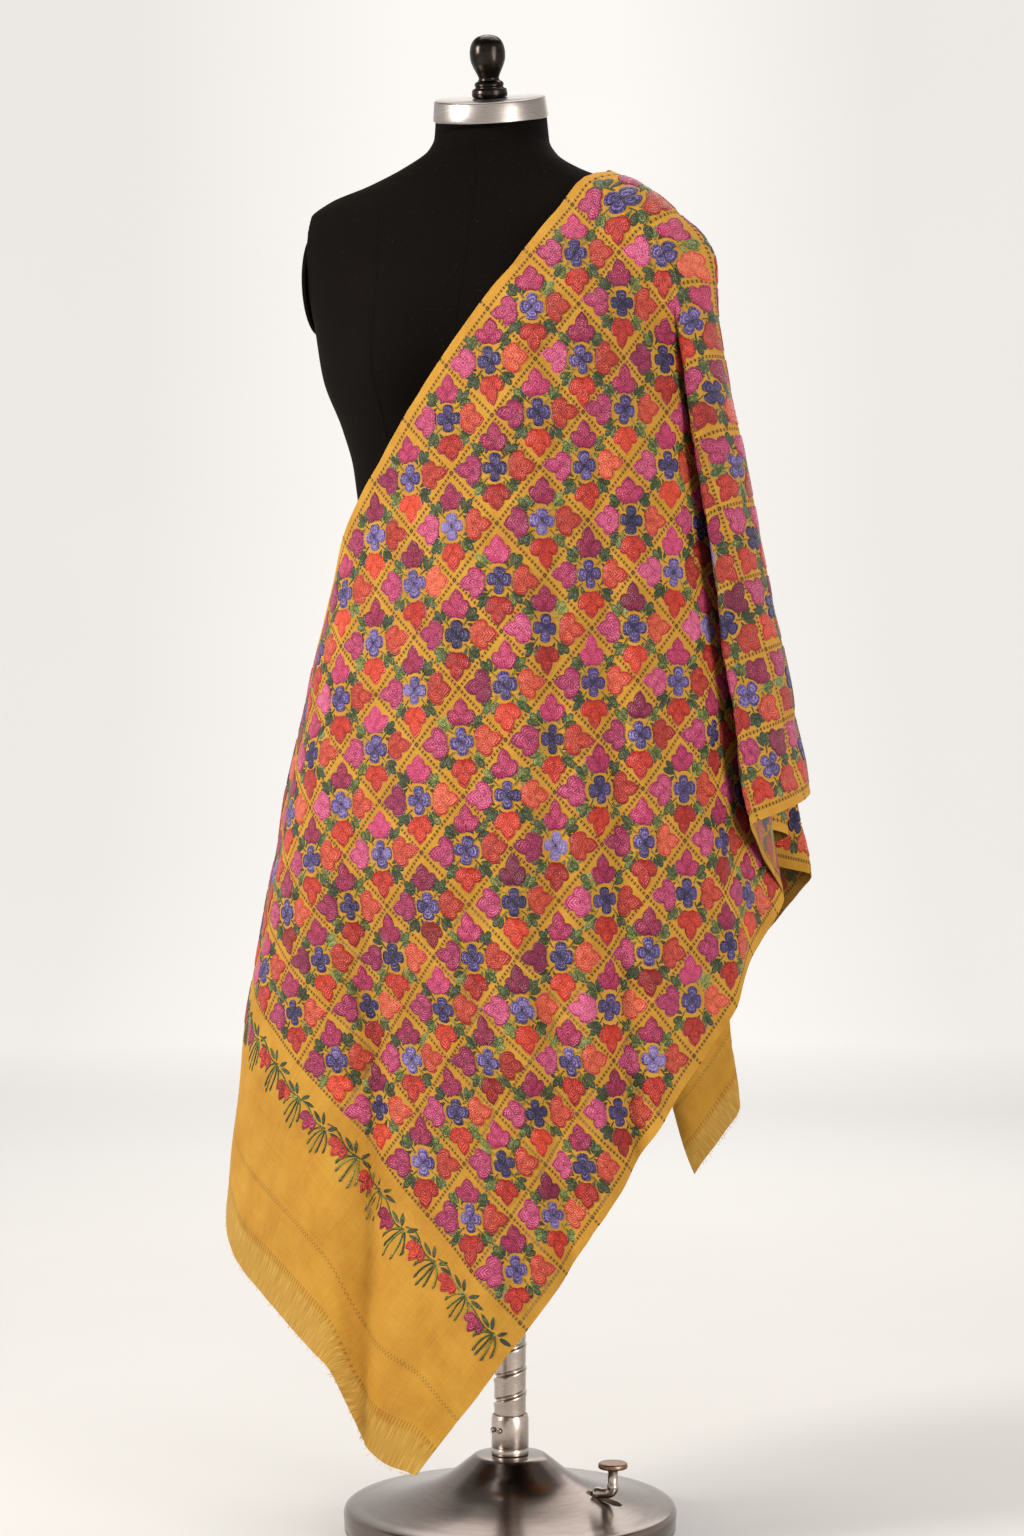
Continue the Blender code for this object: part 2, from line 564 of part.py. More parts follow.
def build_stand():
    rows = table(BASE_PROFILE)
    base = turned("base", list(zip(rows["radius"], rows["height"])), "steel", count=60)
    way = np.array([math.cos(PEDAL_TURN), math.sin(PEDAL_TURN), 0.0])
    cross = np.array([-way[1], way[0], 0.0])
    near, far = SLOT_NEAR + SLOT_WIDE / 2, SLOT_FAR - SLOT_WIDE / 2
    ends = [(near, a) for a in np.linspace(math.pi / 2, 3 * math.pi / 2, 9)]
    ends += [(far, a) for a in np.linspace(-math.pi / 2, math.pi / 2, 9)]
    outline = [way * (r + SLOT_WIDE / 2 * math.cos(a)) + cross * SLOT_WIDE / 2 * math.sin(a) for r, a in ends]
    slot = stack("slot_cut", [np.array(outline) + (0, 0, SLOT_FLOOR), np.array(outline) + (0, 0, 0.10)], "steel")
    cut = base.modifiers.new("slot", "BOOLEAN")
    cut.operation, cut.object, cut.solver = "DIFFERENCE", slot, "EXACT"
    slot.hide_render = True
    slot.display_type = "WIRE"

    turned("pole", [(POLE_R - 0.001, POLE_LOW), (POLE_R, POLE_LOW + 0.001), (POLE_R, POLE_HIGH - 0.001 - GAP),
                    (POLE_R - 0.001, POLE_HIGH - GAP)], "steel", count=40)
    a = np.linspace(0, 2 * math.pi, 40, endpoint=False)
    circle = np.column_stack([np.cos(a), np.sin(a), 0 * a])
    inner = POLE_R + GAP
    loop = [(inner, COLLAR_LOW), (COLLAR_R, COLLAR_LOW), (COLLAR_R, COLLAR_HIGH - 0.001),
            (COLLAR_R - 0.001, COLLAR_HIGH), (inner, COLLAR_HIGH)]
    verts = np.concatenate([circle * r + (0, 0, z) for r, z in loop])
    faces = [(i * 40 + j, i * 40 + (j + 1) % 40, (i + 1) % 5 * 40 + (j + 1) % 40, (i + 1) % 5 * 40 + j)
             for i in range(5) for j in range(40)]
    solid("collar", verts, faces, "steel")
    for name, bearing in (("collar_screw_1", -60), ("collar_screw_2", -34)):
        out = np.array([math.sin(math.radians(bearing)), -math.cos(math.radians(bearing)), 0.0])
        turned(name, [(0.0026, 0), (0.0028, 0.0005), (0.0028, 0.0018), (0.0020, 0.0026)], "steel",
               out * (COLLAR_R + GAP) + (0, 0, 0.1065), out, 16)

    # The pedal: a lever out of the slot, a stem up from it and a round tread.
    lever_in = SLOT_NEAR + SLOT_WIDE / 2 + 0.001
    a = np.linspace(0, 2 * math.pi, 24, endpoint=False)
    bend = STEM_AT - 0.006
    rings = []
    for r, z, lean, size in ((lever_in, LEVER_Z - 0.002, 0, 0.0064), (lever_in + 0.004, LEVER_Z - 0.0015, 0, 0.0064),
                             (lever_in + 0.007, LEVER_Z - 0.001, 0, LEVER_R), (bend - 0.001, LEVER_Z, 0, LEVER_R),
                             (STEM_AT - 0.0015, LEVER_Z + 0.0015, 45, LEVER_R * 1.12),
                             (STEM_AT, LEVER_Z + 0.007, 90, LEVER_R * 1.15),
                             (STEM_AT, STEM_TOP - 0.001, 90, LEVER_R * 1.15),
                             (STEM_AT, STEM_TOP, 90, 0.0140), (STEM_AT, STEM_TOP + 0.001, 90, 0.0152),
                             (STEM_AT, STEM_TOP + 0.0045, 90, 0.0152), (STEM_AT, STEM_TOP + 0.0055, 90, 0.0145)):
        along = math.radians(lean)
        up = -way * math.sin(along) + np.array([0, 0, math.cos(along)])
        rings.append(way * r + np.array([0, 0, z]) + size * (np.cos(a)[:, None] * cross + np.sin(a)[:, None] * up))
    stack("pedal", rings, "steel")


# ---------------------------------------------------------------- the stole's solids
def build_stole():
    over = np.linspace(CREST_END, PIN_S, 6)[:-1]
    v = np.linspace(0, 1, 31)
    rows = [shoulder_point(np.full(len(v), value), v) for value in over]
    for value in np.concatenate([[PIN_S], np.linspace(-10.4, -4.6, 15), np.linspace(-4.2, S_FRONT, 23)]):
        far = np.interp(value, [PIN_S, -4.6], [PIN_T, T_ARM])
        rows.append(front_point(np.full(len(v), value), T_NECK + v * (far - T_NECK)))
    wall("stole_front_fall", np.array(rows), "stole_cloth")

    levels = np.concatenate([[FOLD_TOP], np.linspace(0, 1, 13)[1:]])
    side = fold_fan(SIDE_FOLDS, levels)
    edge = front_point(side[:, 0, 3], side[:, 0, 4]) - side[:, 0, :3]
    for k, share in enumerate((1.0, 0.85, 0.6, 0.3)):
        side[:, k, :3] += edge * share
    side[:, 0, :3] += RIDGE_GAP
    wall("stole_side_folds", rest_on_form(side[..., :3], FOLD_CLEAR), "stole_cloth")
    back = fold_fan(BACK_FOLDS, levels)
    for k, share in enumerate((1.0, 0.7, 0.4, 0.2)):
        back[:, k, :3] += CORNER_GAP * share
    wall("stole_back_fall", rest_on_form(back[..., :3], FOLD_CLEAR), "stole_cloth")


build_form()
build_stand()
build_stole()
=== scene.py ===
# %% [markdown]
# # An embroidered stole on a dress form
# A wool stole hangs over the left shoulder of a black dress form, which stands on a steel pole with a weighted
# round foot. The ochre stole is worked all over with squares of chain-stitched flowers, divided by rows of small
# holes where threads were drawn out of the weave. It is one long rectangle of cloth that falls cornerwise over
# the front, turns back on itself in flat folds beside the arm, and hangs down the back.
#
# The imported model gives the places. Everything soft or turned is made again here on the same measures, finer,
# with its own finish. World units are metres, up is Z, and the form's front looks toward -Y.

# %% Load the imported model
from math import acos, atan2, cos, degrees, pi, radians, sin

import bmesh
import bpy
import numpy as np
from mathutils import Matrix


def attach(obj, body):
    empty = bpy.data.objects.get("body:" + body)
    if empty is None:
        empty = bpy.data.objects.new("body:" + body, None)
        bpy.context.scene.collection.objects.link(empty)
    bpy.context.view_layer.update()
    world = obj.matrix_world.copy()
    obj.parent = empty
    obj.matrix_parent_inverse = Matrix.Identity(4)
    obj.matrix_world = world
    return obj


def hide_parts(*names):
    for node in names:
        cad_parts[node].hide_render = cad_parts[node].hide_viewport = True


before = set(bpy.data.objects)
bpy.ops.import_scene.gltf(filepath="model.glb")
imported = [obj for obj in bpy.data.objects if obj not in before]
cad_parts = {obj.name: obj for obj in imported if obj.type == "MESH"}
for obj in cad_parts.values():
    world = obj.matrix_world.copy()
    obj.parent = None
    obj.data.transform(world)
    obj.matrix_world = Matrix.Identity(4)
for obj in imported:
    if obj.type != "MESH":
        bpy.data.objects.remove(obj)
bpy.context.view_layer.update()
scene = bpy.context.scene

# %% [markdown]
# ## Tables and meshes
# Shapes here are steered by small text tables. Most pieces have thousands of points, so they are worked out as
# arrays and handed to Blender in one go: that is far quicker than adding points one by one, and a whole piece
# stays one mesh.

# %% Helpers
def table(text):
    """Columns of a text table by name: the first is text, the rest become arrays."""
    head, *rows = [line.split() for line in text.strip().splitlines()]
    names, *columns = zip(*rows)
    return {head[0]: list(names)} | {name: np.array(column, float) for name, column in zip(head[1:], columns)}


def in_scene(name, data):
    """Object that shows a mesh, a lamp or a camera."""
    obj = bpy.data.objects.new(name, data)
    scene.collection.objects.link(obj)
    return obj


def tell(obj):
    print(obj.name, "faces", len(obj.data.polygons))


def fast_mesh(name, verts, faces, uv=None, smooth=True, sizes=None):
    """Mesh object from arrays: faces row by row, or as one run of corners with the sizes of the faces."""
    faces = np.asarray(faces, np.int32)
    if sizes is None:
        sizes = np.full(len(faces), faces.shape[1], np.int32)
    corners = faces.ravel()
    mesh = bpy.data.meshes.new(name)
    mesh.vertices.add(len(verts))
    mesh.vertices.foreach_set("co", np.asarray(verts, np.float32).ravel())
    mesh.loops.add(len(corners))
    mesh.loops.foreach_set("vertex_index", corners)
    mesh.polygons.add(len(sizes))
    mesh.polygons.foreach_set("loop_start", np.concatenate([[0], np.cumsum(sizes)[:-1]]).astype(np.int32))
    mesh.polygons.foreach_set("use_smooth", np.full(len(sizes), smooth))
    if uv is not None:
        layer = mesh.uv_layers.new(name="cut")
        layer.data.foreach_set("uv", np.asarray(uv, np.float32).ravel())
    mesh.update(calc_edges=True)
    mesh.validate()
    return in_scene(name, mesh)


def full_turn(count):
    """Angles of count even steps round a circle."""
    return np.linspace(0, 2 * pi, count, endpoint=False)


def grid_faces(rows, cols, closed=False):
    """Quads over rows x cols points; closed joins the last column to the first."""
    i, j = np.meshgrid(np.arange(rows - 1), np.arange(cols if closed else cols - 1), indexing="ij")
    k = (j + 1) % cols
    return np.stack([i * cols + j, i * cols + k, (i + 1) * cols + k, (i + 1) * cols + j], -1).reshape(-1, 4)


def end_fans(rings, each):
    """Triangles that close a tube at both ends, onto two middle points that come after its rings."""
    k, last, middle = np.arange(each), (rings - 1) * each, rings * each
    return [np.column_stack([np.full(each, middle), (k + 1) % each, k]),
            np.column_stack([np.full(each, middle + 1), last + k, last + (k + 1) % each])]


def tube(name, rings, inward=False):
    """Closed tube through rings of equally many points."""
    groups = [grid_faces(len(rings), len(rings[0]), closed=True), *end_fans(len(rings), len(rings[0]))]
    return fast_mesh(name, np.concatenate([*rings, [rings[0].mean(0), rings[-1].mean(0)]]),
                     **mixed(*[group[:, ::-1] for group in groups] if inward else groups))


def joined(name, parts):
    """One mesh from many (points, faces)."""
    starts = np.cumsum([0] + [len(points) for points, _ in parts])
    return fast_mesh(name, np.concatenate([points for points, _ in parts]),
                     np.concatenate([faces + start for (_, faces), start in zip(parts, starts)]))


def mixed(*groups):
    """Faces of different widths as the run and sizes that fast_mesh takes."""
    groups = [np.atleast_2d(group) for group in groups]
    sizes = [np.full(len(group), group.shape[1], np.int32) for group in groups]
    return {"faces": np.concatenate([group.ravel() for group in groups]), "sizes": np.concatenate(sizes)}


def apply_all(obj):
    """Turns the modifiers' result into the mesh itself."""
    graph = bpy.context.evaluated_depsgraph_get()
    mesh = bpy.data.meshes.new_from_object(obj.evaluated_get(graph))
    obj.modifiers.clear()
    obj.data = mesh


def mend(obj, *changes):
    """Makes changes, functions of a bmesh, to a mesh, and turns all its faces outward."""
    work = bmesh.new()
    work.from_mesh(obj.data)
    for change in changes:
        change(work)
    bmesh.ops.recalc_face_normals(work, faces=work.faces[:])
    work.to_mesh(obj.data)
    work.free()


print("net of 2 x 3 points", grid_faces(2, 3).tolist())

# %% [markdown]
# ## Where it stands
# A studio floor that curves up all round gives a plain pale ground from every side, where a plane and a wall
# would hide the stole's back. The bowl catches the shadow of the foot. It casts none itself and throws no light
# back, so the world's soft light still reaches the stole.

# %% Floor bowl
BOWL_FLAT, BOWL_RISE, BOWL_TOP = 5.6, 2.6, 7.0  # radii of the flat floor and of the curve, height of the wall
BOWL_TURNS, CURVE_STEPS = 128, 24
bowl_profile = [(0.4, 0.0), (1.2, 0.0), (3.0, 0.0)]  # radius and height of its rings
bowl_profile += [(BOWL_FLAT + BOWL_RISE * sin(a), BOWL_RISE * (1 - cos(a)))
                 for a in np.linspace(0, pi / 2, CURVE_STEPS)]
bowl_profile += [(BOWL_FLAT + BOWL_RISE, BOWL_TOP)]
angle = full_turn(BOWL_TURNS)
rings = np.array([np.column_stack([r * np.cos(angle), r * np.sin(angle), np.full(BOWL_TURNS, z)])
                  for r, z in bowl_profile])
k = np.arange(BOWL_TURNS)
middle_fan = np.column_stack([np.full(BOWL_TURNS, rings.size // 3), k, (k + 1) % BOWL_TURNS])
floor = fast_mesh("studio_floor", np.concatenate([rings.reshape(-1, 3), [[0, 0, 0]]]),
                  **mixed(grid_faces(len(rings), BOWL_TURNS, closed=True), middle_fan))
mend(floor)
floor.visible_diffuse = False
floor.visible_shadow = False
tell(floor)

# %% [markdown]
# A helper writes shader nodes in few words: each finish below is a short list of nodes joined to one Principled
# shader. Colours are written as they look on a screen and turned into linear light here.

# %% Shader helpers
def tint(r, g, b):
    """Screen colour, 0 to 255, as linear light."""
    c = np.array([r, g, b]) / 255.0
    return (*np.where(c <= 0.04045, c / 12.92, ((c + 0.055) / 1.055) ** 2.4), 1.0)


class Finish:
    """A material made of nodes around one Principled shader."""

    def __init__(self, name, **constants):
        self.material = bpy.data.materials.new(name)
        self.material.use_nodes = True
        self.tree = self.material.node_tree
        self.skin = self.tree.nodes["Principled BSDF"]
        for key, value in constants.items():
            self.skin.inputs[key.replace("_", " ")].default_value = value

    def node(self, kind, settings=None, **inputs):
        made = self.tree.nodes.new("ShaderNode" + kind)
        for key, value in (settings or {}).items():
            setattr(made, key, value)
        for key, value in inputs.items():
            key = int(key[1:]) if key[0] == "i" and key[1:].isdigit() else key.replace("_", " ")
            self.put(made.inputs[key], value)
        return made

    def put(self, socket, value):
        if isinstance(value, bpy.types.NodeSocket):
            self.tree.links.new(value, socket)
        else:
            socket.default_value = value

    def math(self, operation, a, b=0.0, c=0.0):
        return self.node("Math", {"operation": operation}, i0=a, i1=b, i2=c).outputs[0]

    def times(self, a, b):
        return self.math("MULTIPLY", a, b)

    def plus(self, a, b):
        return self.math("ADD", a, b)

    def minus(self, a, b):
        return self.math("SUBTRACT", a, b)

    def noise(self, vector, scale, detail=3.0, rough=0.5):
        return self.node("TexNoise", Vector=vector, Scale=scale, Detail=detail, Roughness=rough).outputs[0]

    def stretch(self, vector, scale):
        return self.node("Mapping", Vector=vector, Scale=scale).outputs[0]

    def ramp(self, value, stops):
        made = self.node("ValToRGB", Fac=value)
        band = made.color_ramp
        band.elements[0].position, band.elements[0].color = stops[0]
        band.elements[1].position, band.elements[1].color = stops[-1]
        for place, colour in stops[1:-1]:
            band.elements.new(place).color = colour
        return made.outputs[0]

    def between(self, value, low, high, at_low, at_high):
        """at_low where value is low, at_high where it is high, straight between and level outside."""
        return self.node("MapRange", i0=value, i1=low, i2=high, i3=at_low, i4=at_high).outputs[0]

    def mix(self, share, a, b):
        made = self.node("Mix", {"data_type": "RGBA", "clamp_factor": True})
        self.put(made.inputs[0], share)
        self.put(made.inputs[6], a)
        self.put(made.inputs[7], b)
        return made.outputs[2]

    def bump(self, height, deep, strength=1.0):
        """Relief of deep metres, added to what is there."""
        before = self.skin.inputs["Normal"].links
        made = self.node("Bump", Height=height, Distance=deep, Strength=strength)
        if before:
            self.tree.links.new(before[0].from_socket, made.inputs["Normal"])
        self.tree.links.new(made.outputs[0], self.skin.inputs["Normal"])

    def place(self):
        return self.node("TexCoord").outputs["Object"]

    def cut(self):
        return self.node("TexCoord").outputs["UV"]

    def cover(self, *pieces):
        for piece in pieces:
            piece.data.materials.append(self.material)

    def colour(self, value):
        self.put(self.skin.inputs["Base Color"], value)

    def rough(self, value):
        self.put(self.skin.inputs["Roughness"], value)


print("colour 255 as light", tint(255, 255, 255)[0])

# %% [markdown]
# The floor is matt paper, faintly clouded. Its glow is painted light, since paper gives none off: less close to
# the foot, where the shadow has to show, and less toward the sides, as painted shade where the lamps fall off.

# %% Floor finish
PAPER_GLOW = 0.76  # painted light given off by the wall
NEAR_SHARE = 0.26  # share of it under the foot
FAR_GLOW = 0.02  # painted light added at the far floor, and gone half a metre up the curve
SIDE_SHADE = 0.14  # painted shade, taken off at the sides
paper = Finish("studio_paper", Roughness=0.95)
paper.skin.inputs["Emission Color"].default_value = (1.0, 0.975, 0.95, 1.0)
paper_tone = paper.noise(paper.place(), 1.3, 4.0)
paper.colour(paper.ramp(paper_tone, [(0.3, tint(196, 193, 189)), (0.7, tint(200, 197, 193))]))
paper.bump(paper.noise(paper.place(), 900.0), 0.0001)
reach = paper.node("VectorMath", {"operation": "LENGTH"}, i0=paper.place()).outputs["Value"]
across, up = (paper.node("SeparateXYZ", Vector=paper.place()).outputs[k] for k in (0, 2))
# Painted light and shade on the paper, by distance, height and side.
glow = paper.between(reach, 0.5, BOWL_FLAT, NEAR_SHARE, 1.0)
rise = paper.between(reach, 2.0, BOWL_FLAT, 0.0, FAR_GLOW)
fall = paper.between(up, 0.0, 0.5, 1.0, 0.0)
shade = paper.between(paper.math("ABSOLUTE", across), 0.4, 1.4, 0.0, SIDE_SHADE)
level = paper.minus(paper.math("MULTIPLY_ADD", rise, fall, PAPER_GLOW), shade)
paper.put(paper.skin.inputs["Emission Strength"], paper.times(glow, level))
paper.cover(floor)
print(paper.material.name)

# %% [markdown]
# ## Camera and light
# The camera stands level with the stole's middle, three metres off, with a long lens. It could look down a
# little, but then upright edges would lean.

# %% Camera
CAMERA_AT = (0.002, -3.1, 0.799)
VIEW_HIGH = 1.6128  # height that the view takes in at the pole
SENSOR = 36.0  # millimetres, along the view's height
camera = in_scene("camera", bpy.data.cameras.new("camera"))
camera.location = CAMERA_AT
camera.rotation_euler = (pi / 2, 0, 0)
camera.data.sensor_width = SENSOR
camera.data.lens = SENSOR * -CAMERA_AT[1] / VIEW_HIGH
camera.data.clip_end = 100.0
scene.camera = camera
print("lens %.1f mm" % camera.data.lens)

# %% [markdown]
# A soft key at the left draws the folds, and a wide fill from the front right keeps the shadows open. Weaker
# lamps above and behind lift the shoulders and the far floor, and the world adds a little light from all round.
# Cloth could do with fewer, but metal looks black where it has nothing bright to mirror, so a small low lamp
# lights the foot and the pole.

# %% World
world = bpy.data.worlds.new("studio")
scene.world = world
world.use_nodes = True
backdrop = world.node_tree.nodes["Background"]
backdrop.inputs["Color"].default_value = (1.0, 0.985, 0.965, 1.0)
backdrop.inputs["Strength"].default_value = 0.24
# Plain colour, with no film curve, keeps the dyes as strong as they are.
scene.view_settings.view_transform = "Standard"
print("world strength", backdrop.inputs["Strength"].default_value)

# %% Lamps
LAMPS = table("""
lamp    x    y   z aim_z wide high power
key  -3.1 -1.5 2.0  0.85  0.9  1.3   152
fill  2.4 -2.9 1.4  0.80  1.4  2.0    62
top   0.2  0.4 3.4  0.80  2.0  2.0    40
back  0.6  2.9 2.2  0.90  2.2  1.8    22
low   1.9 -2.0 0.5  0.45  0.8  0.8    24
""")

for k, name in enumerate(LAMPS["lamp"]):
    light = bpy.data.lights.new("lamp_" + name, "AREA")
    light.shape, light.size, light.size_y = "RECTANGLE", float(LAMPS["wide"][k]), float(LAMPS["high"][k])
    light.energy, light.color = float(LAMPS["power"][k]), (1.0, 0.97, 0.93)
    lamp = in_scene("lamp_" + name, light)
    lamp.location = [LAMPS[c][k] for c in "xyz"]
    aim = np.array([0, 0, LAMPS["aim_z"][k]]) - [LAMPS[c][k] for c in "xyz"]  # every lamp looks at the pole
    lamp.rotation_euler = (acos(-aim[2] / np.linalg.norm(aim)), 0, atan2(aim[1], aim[0]) - pi / 2)
print("lamps", LAMPS["lamp"])

# %% [markdown]
# ## The dress form under the stole
# The body is a padded torso covered in black jersey. It could be sculpted, but its sections are soft ovals whose
# width, depth and lean change with height, so a table of levels and a smooth curve describe it all. The same
# function later keeps the cloth off it, so it comes before the stole.

# %% The form's measures
TURN = radians(21)  # the form is turned a little to its right
FRONT = np.array([-sin(TURN), -cos(TURN)])
LEFT = np.array([cos(TURN), -sin(TURN)])
TORSO = table("""
level      z  half front  back shift
hem    0.715 0.158 0.118 0.118 0.000
thigh  0.760 0.172 0.126 0.128 0.000
hip    0.850 0.182 0.128 0.138 0.000
belly  0.950 0.172 0.120 0.122 0.008
waist  1.050 0.156 0.104 0.100 0.018
rib    1.110 0.160 0.112 0.104 0.022
under  1.155 0.172 0.120 0.108 0.024
bust   1.205 0.192 0.128 0.112 0.026
chest  1.265 0.204 0.118 0.110 0.028
armpit 1.315 0.216 0.096 0.098 0.031
tip    1.352 0.221 0.080 0.082 0.034
cap    1.380 0.212 0.068 0.070 0.036
slope  1.395 0.188 0.061 0.064 0.038
trap   1.407 0.145 0.057 0.059 0.041
base   1.424 0.096 0.056 0.056 0.045
root   1.437 0.068 0.057 0.055 0.049
neck   1.450 0.059 0.057 0.055 0.052
throat 1.478 0.057 0.057 0.056 0.060
""")
ROUND = 2.15  # how square the torso's sections are; 2 is an ellipse
BUST_SIDE, BUST_Z, BUST_OUT = 0.082, 1.205, 0.021  # its fullest place, and how far it stands out
BUST_WIDE, BUST_HIGH = 0.052, 0.062  # how far it spreads sideways and up
DROP_FROM, DROP_OVER = 1.18, 0.15  # the stole's shoulder is lower from here up
DROP = table("""
place      u  down
neck   0.040 0.000
inner  0.100 0.012
middle 0.150 0.014
outer  0.205 0.042
""")


def smooth(x, xs, ys):
    """Smooth curve through a table's column (cubic Hermite with limited slopes)."""
    x = np.clip(np.asarray(x, float), xs[0], xs[-1])
    step, rise = np.diff(xs), np.diff(ys)
    slope = rise / step
    tangent = np.zeros(len(xs))
    same = slope[:-1] * slope[1:] > 0
    both = np.where(same, slope[:-1] + slope[1:], 1.0)
    tangent[1:-1] = np.where(same, 2 * slope[:-1] * slope[1:] / both, 0.0)
    tangent[0], tangent[-1] = slope[0], slope[-1]
    k = np.clip(np.searchsorted(xs, x) - 1, 0, len(xs) - 2)
    t = (x - xs[k]) / step[k]
    return (ys[k] * (1 + 2 * t) * (1 - t) ** 2 + ys[k + 1] * t * t * (3 - 2 * t)
            + step[k] * (tangent[k] * t * (1 - t) ** 2 - tangent[k + 1] * t * t * (1 - t)))


print("levels", len(TORSO["z"]))

# %% The form's surface
def drop(u, z):
    """How far the stole's shoulder is lowered, u aside at level z."""
    return smooth(u, DROP["u"], DROP["down"]) * np.clip((z - DROP_FROM) / DROP_OVER, 0, 1)


def torso_size(z):
    """Half width, depth before and behind, and forward lean of the section at level z."""
    return [smooth(z, TORSO["z"], TORSO[name]) for name in ("half", "front", "back", "shift")]


def bust(u, z, forward):
    """Extra depth of the bust, u aside at level z, in front only."""
    swell = sum(np.exp(-((u - side) / BUST_WIDE) ** 2) for side in (-BUST_SIDE, BUST_SIDE))
    return BUST_OUT * swell * np.exp(-((z - BUST_Z) / BUST_HIGH) ** 2) * np.clip(forward, 0, 1) ** 2


def torso_ring(z, angles):
    """Points round the torso at level z."""
    half, front, back, shift = torso_size(z)
    c, s = np.cos(angles), np.sin(angles)
    u = half * np.sign(c) * np.abs(c) ** (2 / ROUND)
    w = np.where(s > 0, front, back) * np.sign(s) * np.abs(s) ** (2 / ROUND)
    w = w + bust(u, z, s) + shift
    flat = u[:, None] * LEFT + w[:, None] * FRONT
    return np.column_stack([flat, z - drop(u, np.full(len(u), z))])


waist = torso_ring(1.05, np.linspace(0, 2 * pi, 200))
print("waist %.2f m round" % np.linalg.norm(np.diff(waist, axis=0), axis=1).sum())

# %% [markdown]
# Cloth lies on the form and never in it. A simulation would test for collisions. Here the same measures answer a
# simpler question: how far inside is this point, and which way is out? Points that are too deep are moved out in
# small steps, and those close by are eased off the skin, so that no edge shows where the contact begins.

# %% Keeping cloth off the form
def inside(points, clear):
    """How deep points are in the form swollen by clear: 1 on its skin, less inside."""
    u = points[..., 0] * LEFT[0] + points[..., 1] * LEFT[1]
    level = points[..., 2] + drop(u, points[..., 2] + drop(u, points[..., 2]))
    z = np.clip(level - 0.6 * clear * (level > 1.3), TORSO["z"][0], TORSO["z"][-1])
    half, front, back, shift = torso_size(z)
    w = points[..., 0] * FRONT[0] + points[..., 1] * FRONT[1] - shift
    depth = np.where(w > 0, front, back)
    angle = np.where(w > 0, w / (depth + clear), 0)
    w = w - bust(u, z, angle)
    return (np.abs(u) / (half + clear)) ** ROUND + (np.abs(w) / (depth + clear)) ** ROUND


PUSHES, PROBE = 16, 1e-4  # steps outward, and metres between two soundings of the depth


def rest_on_form(points, clear=0.006, soft=0.05):
    """Moves points that would be in the form out to its skin, easing in the ones close to it."""
    points = np.array(points, float)
    first = inside(points, clear)
    near = (first < 1 + 6 * soft) & (points[..., 2] > TORSO["z"][0] - 0.02)
    aim = 1 + soft * np.log1p(np.exp(np.clip((first - 1) / soft, -30, 30)))
    for _ in range(PUSHES):
        value = inside(points, clear)
        slope = np.stack([(inside(points + PROBE * np.eye(3)[k], clear) - value) / PROBE for k in range(3)], -1)
        size = (slope ** 2).sum(-1) + 1e-6
        move = np.where(near, np.clip((aim - value) / size, -0.01, 0.01), 0)
        points += slope * move[..., None] * 0.9
    return points


pushed = rest_on_form([[0.0, -0.05, 1.2]])
print("pushed out to", np.round(pushed[0], 3))

# %% [markdown]
# ## How the stole hangs
# The stole is cut flat, so its shape is a map from the flat cloth to space. Places on the cloth are counted in
# embroidered squares: s along it, t across it. A cloth simulation could drape it, but this one was arranged by
# hand and pinned at the shoulder, so the map is built the same way: a cone of cloth down the front, a patch over
# the shoulder, and two fans of folds that start there, one beside the arm and one down the back.

# %% The cut
SQUARE = 0.0700  # side of one embroidered square
ACROSS = 9  # squares across the stole
EDGE = 0.15  # plain selvedge outside the last square, in squares
FRONT_SQUARES = 1.5  # where the squares stop at the front end
BACK_SQUARES = -20.5  # and at the back end
PLAIN = 0.185 / SQUARE  # the plain end beyond the squares
SHEAR = radians(40.3)  # the squares hang cornerwise, drawn a little long by their weight
T_NECK, T_ARM = -EDGE, ACROSS + EDGE
S_FRONT, S_BACK = FRONT_SQUARES + PLAIN, BACK_SQUARES - PLAIN
PIN = np.array([0.147, -0.156, 1.305])  # where the side folds start on the shoulder,
PIN_S, PIN_T = -10.9, 1.55  # and the same spot on the cloth
RIDGE_LEAN = radians(4.2)  # of the ridge from plumb, on the flat cloth
APEX_ABOVE = 0.87  # from PIN up to the cone's point, along the ridge


def ease(x):
    """Soft step from 0 to 1."""
    x = np.clip(x, 0, 1)
    return x * x * (3 - 2 * x)


def unit(v):
    return v / np.linalg.norm(v, axis=-1, keepdims=True)


def sideways(way):
    """Ways on the flat cloth turned by a quarter."""
    return np.stack([-way[..., 1], way[..., 0]], -1)


def hung(s, t):
    """Squares to metres on the hung cloth laid flat, from the top of the side folds: x right, y up."""
    ds, dt = (s - PIN_S) * SQUARE, (t - PIN_T) * SQUARE
    return np.stack([(dt - ds) * sin(SHEAR), -(ds + dt) * cos(SHEAR)], -1)


print("cut %.3f x %.3f m" % ((T_ARM - T_NECK) * SQUARE, (S_FRONT - S_BACK) * SQUARE))

# %% [markdown]
# Cloth bends but hardly stretches, so a broad fall that hangs from one place is part of a cone: straight down its
# length and curved across it. One level line across the fall and the cone's point above the shoulder fix it all.
# Turning about the point on the flat cloth is turning about it on the cone.

# %% The cone of the front fall
PROFILE_Z = 0.75  # level of the line across the fall
CONE_STEPS = 240
PROFILE = table("""
place       x      y
ridge   0.208 -0.149
lap     0.100 -0.196
belly   0.010 -0.210
hollow -0.095 -0.186
hip    -0.212 -0.104
side   -0.233  0.010
rear   -0.186  0.112
""")


